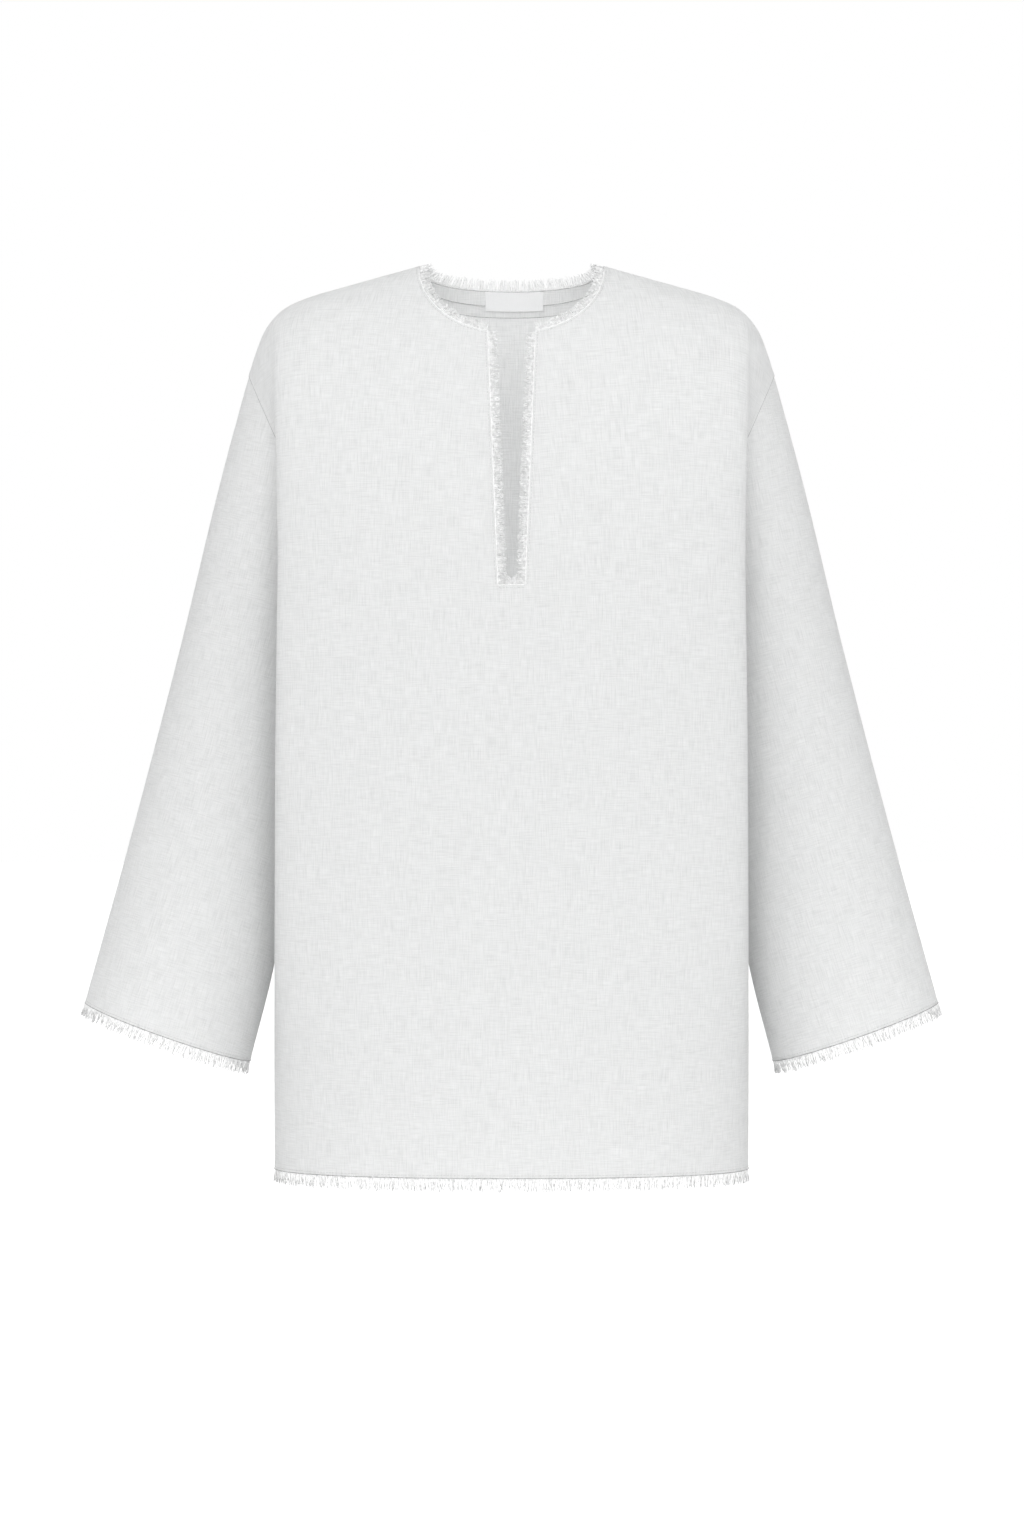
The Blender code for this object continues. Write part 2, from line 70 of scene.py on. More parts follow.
Neckline = namedtuple("Neckline", "drop fullness squareness")
FRONT_NECK = Neckline(drop=0.0645, fullness=2.15, squareness=1.7)
BACK_NECK = Neckline(drop=0.0152, fullness=2.15, squareness=2.4)
NECK_CROWN = 0.012

# Level sections of the body. side_x is the side seam, drawn in beside the sleeve. The front and
# the back each turn at a soft ridge, at ridge_x and front_ridge or back_ridge from the mid-plane.
Level = namedtuple(
    "Level", "z side_x ridge_x front_ridge back_ridge front_depth back_depth fullness"
)
BODY = (
    Level(HEM_Z, 0.2055, 0.2055, 0.020, 0.020, 0.121, 0.110, 2.20),
    Level(-0.700, 0.2045, 0.2050, 0.040, 0.036, 0.122, 0.110, 2.25),
    Level(-0.610, 0.1990, 0.2040, 0.062, 0.056, 0.122, 0.109, 2.30),
    Level(-0.500, 0.1845, 0.2035, 0.072, 0.066, 0.121, 0.107, 2.35),
    Level(-0.400, 0.1705, 0.2028, 0.077, 0.071, 0.120, 0.106, 2.40),
    Level(-0.320, 0.1550, 0.2018, 0.079, 0.073, 0.119, 0.105, 2.40),
    Level(UNDERARM_Z, UNDERARM_X, 0.2010, 0.079, 0.073, 0.118, 0.104, 2.40),
)
ROW_HEIGHTS = (
    HEM_Z, -0.720, -0.650, -0.580, -0.510, -0.440, -0.380, -0.325, SLIT_FOOT_Z, UNDERARM_Z
)
ARM_ROWS = 12
UNDERARM_ROW = len(ROW_HEIGHTS) - 1
SLIT_ROW = ROW_HEIGHTS.index(SLIT_FOOT_Z)

RIDGE_TOP_X = 0.2096  # where the front's ridge runs out on the shoulder seam
LABEL_WIDTH = 0.052
NECK_SHARE = NECK_POINT_X / RIDGE_TOP_X
LABEL_SHARE = LABEL_WIDTH / 2 / RIDGE_TOP_X

# Columns of points across half a panel, as shares of the half width at the ridge: on the body,
# and at the upper edge. The second of the front's is the slit's edge.
Column = namedtuple("Column", "body top")
FRONT_NECK_COLUMNS = (
    Column(0.0, 0.0),
    Column(SLIT_FOOT_HALF / RIDGE_TOP_X, SLIT_TOP_HALF / RIDGE_TOP_X),
    Column(0.135, 0.200),
    Column(0.205, 0.285),
    Column(0.265, 0.345),
    Column(0.315, 0.3715),
    Column(0.352, 0.3812),
    Column(NECK_SHARE, NECK_SHARE),
)
BACK_NECK_COLUMNS = (
    Column(0.0, 0.0),
    Column(LABEL_SHARE, LABEL_SHARE),
    Column(0.210, 0.225),
    Column(0.285, 0.315),
    Column(0.340, 0.365),
    Column(NECK_SHARE, NECK_SHARE),
)
SHOULDER_SHARES = (0.49, 0.60, 0.70, 0.79, 0.86, 0.915, 0.955, 0.982, 0.996, 1.0)
SHOULDER_COLUMNS = tuple(Column(share, share) for share in SHOULDER_SHARES)
RETURN_CELLS = 5
RETURN_HASTE = 0.55

Spot = namedtuple("Spot", "x z")
SHOULDER = (
    Spot(NECK_POINT_X, 0.0),
    Spot(0.148, -0.0192),
    Spot(0.176, -0.0276),
    Spot(0.199, -0.0384),
    Spot(0.2138, -0.0544),
    Spot(0.223, -0.0760),
    Spot(DROP_X, DROP_Z),
)
SHOULDER_SQUARENESS = 2.6
NECK_PACE = 1.1
RIDGE_PACE = 2.0
RIDGE_LEAN = 2.5
RIDGE_PASSES = 12
LATE_PACE = 10.0  # beside a neck point the last of the front's turn comes in its topmost rows
LATE_REACH = 0.012  # how far that goes along the shoulder

SLEEVE_OUTER = (
    Spot(DROP_X, DROP_Z),
    Spot(0.2515, -0.178),
    Spot(0.2897, -0.335),
    Spot(0.3309, -0.493),
    Spot(0.3724, -0.643),
)
SLEEVE_INNER = (
    Spot(UNDERARM_X, UNDERARM_Z),
    Spot(0.1605, -0.275),
    Spot(0.1660, -0.300),
    Spot(0.1795, -0.400),
    Spot(0.1935, -0.500),
    Spot(0.2080, -0.610),
    Spot(0.2290, -0.694),
)
SleeveRing = namedtuple("SleeveRing", "down depth")
SLEEVE_DEPTHS = (
    SleeveRing(0.0, ARMHOLE_DEPTH),
    SleeveRing(0.1, 0.055),
    SleeveRing(0.25, 0.052),
    SleeveRing(0.6, 0.058),
    SleeveRing(1.0, 0.070),
)
SLEEVE_RINGS = 14
SLEEVE_PACE = 1.15

WALL = 0.0012  # the solids' wall, on whose middle the cloth lies
FINER = 4  # each cell of the cut's own grid becomes this many, each way
RETURN_STEPS = tuple((i + 1) / (RETURN_CELLS * FINER) for i in range(RETURN_CELLS * FINER))


def cut_finer(values):
    """Put even steps between the values of a list, or between its tuples."""
    values = np.asarray(values, float)
    places = np.arange((len(values) - 1) * FINER + 1) / FINER
    if values.ndim == 1:
        return np.interp(places, range(len(values)), values)
    return np.array([np.interp(places, range(len(values)), column) for column in values.T]).T


def unit(vectors):
    return vectors / np.linalg.norm(vectors, axis=-1, keepdims=True)


def square_to(directions, vectors):
    """What is left of the vectors without their part along the directions."""
    return vectors - directions * np.sum(vectors * directions, axis=-1, keepdims=True)


def smooth_value(places, values, at):
    """Read a smooth curve through values, which lie at increasing places."""
    places, values = np.asarray(places, float), np.asarray(values, float)
    slopes = np.gradient(values, places)
    i = int(np.clip(np.searchsorted(places, at) - 1, 0, len(places) - 2))
    span = places[i + 1] - places[i]
    t = (at - places[i]) / span
    start = (2 * t**3 - 3 * t**2 + 1) * values[i] + (t**3 - 2 * t**2 + t) * span * slopes[i]
    end = (3 * t**2 - 2 * t**3) * values[i + 1] + (t**3 - t**2) * span * slopes[i + 1]
    return start + end


def smooth_line(spots, count=200):
    """A dense line of (x, z) through the spots, even in length."""
    spots = np.array(spots)
    reach = np.concatenate(([0.0], np.cumsum(np.linalg.norm(np.diff(spots, axis=0), axis=1))))
    places = np.linspace(0.0, reach[-1], count)
    return np.array([[smooth_value(reach, column, p) for column in spots.T] for p in places])


def at_share(line, share):
    place = share * (len(line) - 1)
    return np.array([np.interp(place, range(len(line)), column) for column in line.T])


def level_at(z):
    heights = [level.z for level in BODY]
    return Level(z, *(smooth_value(heights, column, z) for column in list(zip(*BODY))[1:]))


def slit_half_width(z, top_z):
    share = min(max((z - SLIT_FOOT_Z) / (top_z - SLIT_FOOT_Z), 0.0), 1.0)
    return SLIT_FOOT_HALF + (SLIT_TOP_HALF - SLIT_FOOT_HALF) * share


def ease(t):
    return t * t * (3 - 2 * t)


def level_row(z, way, columns):
    """Half a level section of the body. way is -1 for the front and 1 for the back."""
    level = level_at(z)
    ridge = level.front_ridge if way < 0 else level.back_ridge
    depth = level.front_depth if way < 0 else level.back_depth
    row = []
    for column in columns:
        share = min(column.body, 1.0)
        bulge = (1 - share**level.fullness) ** (1 / level.fullness)
        row.append((column.body * level.ridge_x, way * (ridge + (depth - ridge) * bulge), z))
    for t in RETURN_STEPS:
        x = level.ridge_x + (level.side_x - level.ridge_x) * ease(t**RETURN_HASTE)
        row.append((x, way * ridge * (1 - t), z))
    return row


def neckline_z(neck, x):
    share = x / NECK_POINT_X
    return -neck.drop * (1 - share**neck.fullness) ** (1 / neck.fullness)


def top_line(columns, shoulder):
    """The shoulder line over each column, run on across the neck, and out to the drop seam."""
    ridge_share = np.interp(RIDGE_TOP_X, shoulder[:, 0], np.linspace(0, 1, len(shoulder)))
    line = []
    for column in columns:
        x = column.top * RIDGE_TOP_X
        z = np.interp(x, shoulder[:, 0], shoulder[:, 1])
        if column.top < NECK_SHARE:
            z = NECK_CROWN * (1 - (column.top / NECK_SHARE) ** 2)
        line.append((x, 0.0, z))
    for t in RETURN_STEPS:
        x, z = at_share(shoulder, ridge_share + (1 - ridge_share) * t)
        line.append((x, 0.0, z))
    return line


def ring_place(angle, pinch):
    outwards = (1 + math.cos(angle)) / 2
    return outwards, math.sin(angle) * (1 - pinch * (1 - outwards) ** 2)


def armhole(w, way):
    """A point on the armhole, from the underarm at w = 0 to the drop seam at w = 1."""
    outwards, forwards = ring_place(math.pi * (1 - w), ARMHOLE_PINCH)
    x = UNDERARM_X + (DROP_X - UNDERARM_X) * outwards
    z = UNDERARM_Z + (DROP_Z - UNDERARM_Z) * outwards
    return np.array([x, way * ARMHOLE_DEPTH * forwards, z])


def rolled(base, top, turn, power, pace, late, w):
    """A point of the profile that rises from base and rolls back, late in its last rows."""
    angle = (turn - late) * w**pace + late * w**LATE_PACE
    over = 1 - max(math.cos(angle), 0.0) ** power
    return base + (top - base) * np.array([w**RIDGE_LEAN, over, math.sin(angle) ** power])


def half_panel(way, neck, neck_columns, shoulder):
    """Rows of points from the hem to the upper edge, each from the centre line to the side."""
    columns = [Column(*pair) for pair in cut_finer(neck_columns + SHOULDER_COLUMNS)]
    rows = [level_row(z, way, columns) for z in cut_finer(ROW_HEIGHTS)]
    base, top = np.array(rows[-1]), np.array(top_line(columns, shoulder))
    ridge = len(columns) - 1
    profiles, shortfall = [], 0.0
    for i, column in enumerate(columns):
        outwards = column.top**2
        power = 2 / (neck.squareness + (SHOULDER_SQUARENESS - neck.squareness) * outwards)
        turn, late = math.pi / 2, 0.0
        if column.top < NECK_SHARE:
            rise = (neckline_z(neck, top[i][0]) - base[i][2]) / (top[i][2] - base[i][2])
            turn = math.asin(rise ** (1 / power))
            shortfall = math.pi / 2 - turn
        elif way < 0:
            late = shortfall * math.exp((NECK_POINT_X - top[i][0]) / LATE_REACH)
        pace = NECK_PACE + (RIDGE_PACE - NECK_PACE) * outwards
        profiles.append((base[i], top[i], turn, power, pace, late))
    for step in range(1, ARM_ROWS * FINER + 1):
        w = step / (ARM_ROWS * FINER)
        row = [rolled(*profile, w) for profile in profiles]
        arm = armhole(w, way)
        up = 1 - (1 - w) ** 2
        for i, t in enumerate(RETURN_STEPS, ridge + 1):
            between = (1 - t) * row[ridge] + t * arm
            below = base[i] - (1 - t) * base[ridge] - t * base[-1]
            above = top[i] - (1 - t) * top[ridge] - t * top[-1]
            row.append(between + (1 - up) * below + up * above)
        rows.append(row)
    return soften(np.array(rows, float), len(neck_columns) * FINER, ridge + 2 * FINER)


def soften(points, first, last):
    """Even out the turn at the ridge, between two columns, with the edges left where they are."""
    rows = np.arange(len(points))
    weight = np.minimum(np.minimum(rows, rows[::-1]) / FINER, 1.0)[:, None, None]
    for _ in range(RIDGE_PASSES):
        beside = points[:, first - 1 : last] + points[:, first + 1 : last + 2]
        middle = points[:, first : last + 1]
        points[:, first : last + 1] = middle + weight * (beside / 4 - middle / 2)
    return points


def panel_points(way, neck, neck_columns, slit):
    half = half_panel(way, neck, neck_columns, smooth_line(SHOULDER))
    if slit:
        top_z = half[-1, FINER, 2]
        inner = np.arange(FINER + 1) / FINER
        for row in half:
            width = slit_half_width(row[FINER, 2], top_z)
            shift = width - row[FINER, 0]
            row[: FINER + 1, 0] = width * inner
            row[FINER + 1 : 2 * FINER, 0] += shift * (1 - inner[1:FINER])
    mirrored = half[:, :0:-1] * np.array([-1.0, 1.0, 1.0])
    return np.concatenate((mirrored, half), axis=1)


def sleeve_points(side):
    """Rings from the armhole to the cuff. side is 1 for the wearer's left."""
    outer, inner = smooth_line(SLEEVE_OUTER), smooth_line(SLEEVE_INNER)
    down, depths = zip(*SLEEVE_DEPTHS)
    rings = []
    for k in range(SLEEVE_RINGS * FINER + 1):
        share = (k / SLEEVE_RINGS / FINER) ** SLEEVE_PACE
        depth = smooth_value(down, depths, share)
        (outer_x, outer_z), (inner_x, inner_z) = at_share(outer, share), at_share(inner, share)
        ring = []
        for i in range(2 * ARM_ROWS * FINER):
            pinch = ARMHOLE_PINCH * (1 - share)
            outwards, forwards = ring_place(math.pi * (1 - i / ARM_ROWS / FINER), pinch)
            x = inner_x + (outer_x - inner_x) * outwards
            z = inner_z + (outer_z - inner_z) * outwards
            ring.append((side * x, -depth * forwards, z))
        rings.append(ring)
    return np.array(rings)


# Sheets of cloth


def ways_out(points, sign, closed=False):
    """The way out of the garment at each point of a grid, from the cells around it.

    Large cells count for more, so the slivers beside a neck point take the way of the cloth there.
    """
    rows, columns = points.shape[:2]
    reach = FINER if closed else 0
    points = np.pad(points, ((0, 0), (reach, reach), (0, 0)), mode="wrap") if closed else points
    rising, falling = points[1:, 1:] - points[:-1, :-1], points[1:, :-1] - points[:-1, 1:]
    cells = np.pad(np.cross(rising, falling), ((FINER, FINER), (FINER, FINER), (0, 0)))
    ways = sum(
        cells[r : r + rows, c : c + columns + 2 * reach]
        for r in range(2 * FINER)
        for c in range(2 * FINER)
    )
    return unit(ways[:, reach : reach + columns]) * sign


class Sheet:
    """A grid of points down the middle of a piece of cloth, with the way out at each point.

    grain holds each point's place on the flat cloth, and has one more column on a closed sheet.
    """

    def __init__(self, points, sign, closed=False, holes=()):
        self.points, self.closed, self.holes = points, closed, set(holes)
        self.normal = ways_out(points, sign, closed)
        self.grain = None


def reach_along(points, axis):
    """How far along each row or column of a grid each point lies."""
    steps = np.linalg.norm(np.diff(points, axis=axis), axis=-1)
    zero = np.zeros_like(np.take(steps, [0], axis=axis))
    return np.concatenate((zero, np.cumsum(steps, axis=axis)), axis=axis)


def flattened(points, holes=()):
    """Each point's place on the cloth laid flat, by a conformal unwrapping."""
    rows, columns = points.shape[:2]
    faces = [
        (r * columns + c, r * columns + c + 1, (r + 1) * columns + c + 1, (r + 1) * columns + c)
        for r in range(rows - 1)
        for c in range(columns - 1)
        if (r, c) not in holes
    ]
    mesh = bpy.data.meshes.new("flat")
    mesh.from_pydata(points.reshape(-1, 3), [], faces)
    mesh.uv_layers.new(name="flat")
    thing = bpy.data.objects.new("flat", mesh)
    bpy.context.scene.collection.objects.link(thing)
    bpy.ops.object.select_all(action="DESELECT")
    thing.select_set(True)
    bpy.context.view_layer.objects.active = thing
    bpy.ops.object.mode_set(mode="EDIT")
    bpy.ops.mesh.select_all(action="SELECT")
    bpy.ops.uv.unwrap(method="CONFORMAL", margin=0.0)
    bpy.ops.object.mode_set(mode="OBJECT")
    corners, places = np.empty(len(mesh.loops), int), np.empty(2 * len(mesh.loops))
    mesh.loops.foreach_get("vertex_index", corners)
    mesh.uv_layers["flat"].data.foreach_get("uv", places)
    flat = np.full((rows * columns, 2), np.nan)
    flat[corners] = places.reshape(-1, 2)
    bpy.data.objects.remove(thing)
    bpy.data.meshes.remove(mesh)
    return flat.reshape(rows, columns, 2)


def lay_grain(sheet, rough, start):
    """Lay the cloth flat at its true size, turned so that its threads run as in a rough grain."""
    points = sheet.points
    if sheet.closed:
        points = np.concatenate((points, points[:, :1]), axis=1)
    flat = flattened(points, sheet.holes)
    used = ~np.isnan(flat[:, :, 0])
    there, here = flat[used], rough[used]
    there, here = there - there.mean(0), here - here.mean(0)
    left, _, right = np.linalg.svd(there.T @ here)
    true_size = np.linalg.norm(np.diff(points, axis=0), axis=-1)
    flat_size = np.linalg.norm(np.diff(flat, axis=0), axis=-1)
    both = ~np.isnan(flat_size)
    scale = true_size[both].sum() / flat_size[both].sum()
    flat = np.nan_to_num(flat - flat[used].mean(0))
    sheet.grain = flat @ (left @ right) * scale + start


def rough_grain_on_panel(sheet):
    return sheet.points[:, :, [0, 2]]


def rough_grain_on_sleeve(sheet):
    """The straight grain runs down the sleeve's outer edge, and the seam is at its inner edge."""
    around = np.concatenate((sheet.points, sheet.points[:, :1]), axis=1)
    across = reach_along(around, 1)
    outer = ARM_ROWS * FINER
    across = across - across[:, outer : outer + 1]
    down = unit(sheet.points[-1, outer] - sheet.points[0, outer])
    along = np.sum((around - sheet.points[0, outer]) * down, axis=-1)
    return np.stack((across, -along), axis=-1)


def sew(first, second, fold=True):
    """Bring two edges together on one line, with one mitre between them.

    Each edge is (sheet, the edge's indexes, the indexes of the points just inside it).
    """
    (a, edge_a, in_a), (b, edge_b, in_b) = first, second
    line = (a.points[edge_a] + b.points[edge_b]) / 2
    a.points[edge_a] = b.points[edge_b] = line
    mitre = a.normal[edge_a] + b.normal[edge_b]
    if fold:
        along = unit(np.gradient(line, axis=0))
        mitre = mitre + unit(square_to(along, a.points[in_a] - line))
        mitre = mitre + unit(square_to(along, b.points[in_b] - line))
    a.normal[edge_a] = b.normal[edge_b] = unit(mitre)


LAP_SPREAD = 0.45  # share of a lap that reaches one cell further in
DROP_WAY_OUT = np.array([0.94, 0.0, 0.34])  # on the wearer's left
# Each side, its sleeve, and the panels' columns at the side's edge and just inside it
SIDES = ((1, "sleeve_left", -1, -2), (-1, "sleeve_right", 0, 1))
BODY_ROWS = UNDERARM_ROW * FINER
SHOULDER_SEAM = (len(SHOULDER_COLUMNS) + RETURN_CELLS) * FINER + 1
HALF_ROUND = ARM_ROWS * FINER


def seam_columns(side, first):
    """A panel's columns along the shoulder seam, from the drop seam inwards."""
    steps = np.arange(first, SHOULDER_SEAM)
    return -1 - steps if side > 0 else steps


def lap(sheet, edge, inside, lift):
    """Raise the cloth along a seam, where one piece laps over the other."""
    sheet.points[edge] += sheet.normal[edge] * lift
    sheet.points[inside] += sheet.normal[inside] * lift * LAP_SPREAD


def make_sheets():
    """All the cloth of the shirt, sewn together, by name."""
    front_points = panel_points(-1, FRONT_NECK, FRONT_NECK_COLUMNS, True)
    rows, middle = len(front_points), front_points.shape[1] // 2
    slit_cells = range(middle - FINER, middle + FINER)
    holes = [(r, c) for r in range(SLIT_ROW * FINER, rows - 1) for c in slit_cells]
    front = Sheet(front_points, 1, holes=holes)
    back = Sheet(panel_points(1, BACK_NECK, BACK_NECK_COLUMNS, False), -1)
    left = Sheet(sleeve_points(1), -1, closed=True)
    right = Sheet(sleeve_points(-1), 1, closed=True)
    sheets = {"front": front, "back": back, "sleeve_left": left, "sleeve_right": right}
    side_rows, steps = np.arange(BODY_ROWS + 1), np.arange(HALF_ROUND + 1)
    arm_rows = BODY_ROWS + steps
    for side, name, edge, inside in SIDES:
        sleeve = sheets[name]
        run = seam_columns(side, 0)
        for sheet in (front, back):
            sheet.points[side_rows, edge, 1] = 0.0
            sheet.points[-1, run, 1] = 0.0
        for line, beside in (((side_rows, edge), (side_rows, inside)), ((-1, run), (-2, run))):
            sew((front, line, beside), (back, line, beside), fold=False)
        for sheet, places in ((front, steps), (back, -steps % (2 * HALF_ROUND))):
            panel_side = (sheet, (arm_rows, edge), (arm_rows, inside))
            sew(panel_side, (sleeve, (0, places), (1, places)))
        down, out = np.array([0.0, 0.0, -1.0]), DROP_WAY_OUT * (side, 1, 1)
        for sheet in (front, back):
            sheet.normal[BODY_ROWS, edge], sheet.normal[-1, edge] = down, out
        sleeve.normal[0, 0], sleeve.normal[0, HALF_ROUND] = down, out
    return sheets


def lap_seams(sheets, lift):
    """The panels lap over the sleeves, and the front over the back."""
    front, back = sheets["front"], sheets["back"]
    side_rows, arm_rows = np.arange(BODY_ROWS), np.arange(BODY_ROWS + FINER, len(front.points))
    around = np.arange(FINER, 2 * HALF_ROUND - FINER + 1)
    for side, name, edge, inside in SIDES:
        run = seam_columns(side, 1)
        for sheet, rise in ((front, lift), (back, -lift)):
            lap(sheet, (side_rows, edge), (side_rows, inside), rise)
            lap(sheet, (-1, run), (-2, run), rise)
        for sheet in (front, back):
            lap(sheet, (arm_rows, edge), (arm_rows, inside), lift)
        lap(sheets[name], (0, around), (1, around), -lift)


def link_object(name, mesh, material):
    mesh.materials.append(material)
    for polygon in mesh.polygons:
        polygon.use_smooth = True
    thing = bpy.data.objects.new(name, mesh)
    bpy.context.scene.collection.objects.link(thing)
    return thing


RIM_ANGLE = 1.0  # in radians, between a wall's face and its cut edge


def sharpen_rims(mesh):
    """Keep the shading of a wall's face apart from that of its cut edge."""
    bm = bmesh.new()
    bm.from_mesh(mesh)
    for edge in bm.edges:
        edge.smooth = edge.calc_face_angle(0.0) < RIM_ANGLE
    bm.to_mesh(mesh)
    bm.free()


def add_cloth(name, sheet, near, far, material):
    """Make a sheet a closed wall between two heights above its middle, with its grain as UVs."""
    rows, columns = sheet.points.shape[:2]
    cells = columns if sheet.closed else columns - 1
    verts, faces, uvs, index, rims = [], [], [], {}, {}

    def corner(spot, height):
        r, c = spot[0], spot[1] % columns
        if (r, c, height) not in index:
            index[r, c, height] = len(verts)
            verts.append(sheet.points[r, c] + sheet.normal[r, c] * height)
        return index[r, c, height]

    def add_face(spots):
        faces.append([corner(spot, height) for spot, height in spots])
        uvs.extend(sheet.grain[spot] for spot, _ in spots)

    for r in range(rows - 1):
        for c in range(cells):
            if (r, c) in sheet.holes:
                continue
            ring = ((r, c), (r, c + 1), (r + 1, c + 1), (r + 1, c))
            add_face([(spot, far) for spot in ring])
            add_face([(spot, near) for spot in reversed(ring)])
            for side in zip(ring, ring[1:] + ring[:1]):
                key = frozenset((spot[0], spot[1] % columns) for spot in side)
                rims[key] = None if key in rims else side
    for a, b in filter(None, rims.values()):
        add_face([(b, far), (a, far), (a, near), (b, near)])
    mesh = bpy.data.meshes.new(name)
    mesh.from_pydata(verts, [], faces)
    layer = mesh.uv_layers.new(name="grain")
    layer.data.foreach_set("uv", np.array(uvs, float).ravel())
    bm = bmesh.new()
    bm.from_mesh(mesh)
    if bm.calc_volume(signed=True) < 0:
        bmesh.ops.reverse_faces(bm, faces=bm.faces)
    bm.to_mesh(mesh)
    bm.free()
    sharpen_rims(mesh)
    return link_object(name, mesh, material)


# Edges, threads and stitches

Edge = namedtuple("Edge", "points away out closed")


def edge_of(sheet, edge, inside):
    """The points, the way off the cloth and the way out along an edge of a sheet."""
    points, out = sheet.points[edge], sheet.normal[edge]
    if sheet.closed:
        along = np.roll(points, -1, 0) - np.roll(points, 1, 0)
    else:
        along = np.gradient(points, axis=0)
    away = unit(np.cross(along, out))
    away = away * np.sign(np.sum(away * (points - sheet.points[inside])))
    return Edge(points, away, unit(square_to(away, out)), sheet.closed)


def edge_reader(edge):
    """A function that gives the point, the way along, away and out at a distance along an edge."""
    lines = [edge.points, edge.away, edge.out]
    if edge.closed:
        lines = [np.concatenate((line, line[:1])) for line in lines]
    reach = reach_along(lines[0][None], 1)[0]

    def read(place):
        place = place % reach[-1] if edge.closed else min(max(place, 0.0), reach[-1])
        point, away, out = (
            np.array([np.interp(place, reach, column) for column in line.T]) for line in lines
        )
        away, out = unit(away), unit(out)
        return point, np.cross(out, away), away, out

    return read, reach[-1]


def add_threads(name, paths, radius, material, resolution=0):
    """One mesh of thin threads along paths of points, whose fourth number scales the radius."""
    curve = bpy.data.curves.new(name, "CURVE")
    curve.dimensions = "3D"
    curve.bevel_depth = radius
    curve.bevel_resolution = resolution
    curve.use_fill_caps = True
    for path in paths:
        path = np.asarray(path)
        count, width = path.shape
        spline = curve.splines.new("POLY")
        spline.points.add(count - 1)
        places = np.ones((count, 4))
        places[:, :3] = path[:, :3]
        spline.points.foreach_set("co", places.ravel())
        spline.points.foreach_set("radius", path[:, 3] if width == 4 else np.ones(count))
    curve.materials.append(material)
    thing = bpy.data.objects.new(name, curve)
    bpy.context.scene.collection.objects.link(thing)
    bpy.ops.object.select_all(action="DESELECT")
    thing.select_set(True)
    bpy.context.view_layer.objects.active = thing
    bpy.ops.object.convert(target="MESH")
    thing = bpy.context.active_object
    bpy.ops.object.shade_smooth()
    return thing


THREAD_STEPS, LOOP_STEPS = 4, 8
CLUMP_CHANCE = 0.22  # that the next thread begins a clump, which leans its own way
CLUMP_LEAN, OWN_LEAN, LEAN_SPREAD = 0.6, 0.6, 0.6
PLACE_SPREAD = 0.45
STUB_CHANCE, STUB_LENGTH = 0.12, 0.62
CURL_SPREAD = 0.9
ROOT_SPREAD = 0.6
LOOP_BREADTH = (1.6, 3.6)  # in spacings
LOOP_BEND = 0.8
LOOP_WIDTH = 0.72


def frayed_threads(edge, lengths, settings, seed, ends, loops):
    """Paths of the loose threads along an edge, and of the share of them that turn back to it."""
    read, reach = edge_reader(edge)
    chance = random.Random(seed)
    paths, turned = [], []
    count = int((reach - 2 * ends) / settings.spacing)
    clump = 0.0
    for i in range(count):
        if chance.random() < CLUMP_CHANCE:
            clump = chance.uniform(-1.0, 1.0)
        scatter = chance.uniform(-PLACE_SPREAD, PLACE_SPREAD)
        place = ends + (i + 0.5 + scatter) * (reach - 2 * ends) / count
        point, along, away, out = read(place)
        length = chance.uniform(*lengths)
        if chance.random() < STUB_CHANCE:
            length *= STUB_LENGTH
        own_lean = OWN_LEAN * chance.gauss(0.0, LEAN_SPREAD)
        lean = settings.lean * (CLUMP_LEAN * clump + own_lean)
        lift = settings.lift * chance.uniform(-1.0, 1.0)
        curl = settings.lean * chance.uniform(-CURL_SPREAD, CURL_SPREAD)
        height = chance.uniform(-ROOT_SPREAD, ROOT_SPREAD) * settings.width
        root = point - away * settings.root + out * height
        looped = chance.random() < loops
        breadth = settings.spacing * chance.uniform(*LOOP_BREADTH)
        steps = LOOP_STEPS if looped else THREAD_STEPS
        path = []
        for k in range(steps + 1):
            t = k / steps
            onwards = math.sin(math.pi * t) ** LOOP_BEND if looped else t
            back = breadth * (1 - math.cos(math.pi * t)) / 2 if looped else 0.0
            aside = lean * onwards + curl * onwards * onwards
            spot = (
                root
                + away * (settings.root + length) * onwards
                + along * (length * aside + back)
                + out * length * lift * onwards * onwards
            )
            path.append((*spot, LOOP_WIDTH if looped else 1 + (settings.tip - 1) * t))
        (turned if looped else paths).append(path)
    return paths, turned


RUN_LENGTHS, SHORTEST_RUN, RUN_GAP = (0.04, 0.12), 0.01, 0.006
RUN_STEP, LEAST_STEPS = 0.003, 3
SWAY, SWAY_TURN, SWAY_START = 0.00012, 1.7, 900
RUN_WEAVE = 0.5
RUN_WIDTH = 0.8


def running_threads(edge, offsets, settings, seed, ends):
    """Threads that still run along a frayed edge, over and under the loose ones."""
    read, reach = edge_reader(edge)
    chance = random.Random(seed)
    paths = []
    for offset in offsets:
        place = ends
        while place < reach - ends - SHORTEST_RUN:
            length = min(chance.uniform(*RUN_LENGTHS), reach - ends - place)
            steps = max(int(length / RUN_STEP), LEAST_STEPS)
            path = []
            for k in range(steps + 1):
                point, _, away, out = read(place + length * k / steps)
                turn = math.sin(k * SWAY_TURN + offset * SWAY_START)
                sway = turn * SWAY + chance.uniform(-1, 1) * SWAY
                weave = (1 if k % 2 else -1) * settings.width * RUN_WEAVE
                path.append((*(point + away * (offset + sway) + out * weave), RUN_WIDTH))
            paths.append(path)
            place += length + chance.uniform(0.0, RUN_GAP)
    return paths


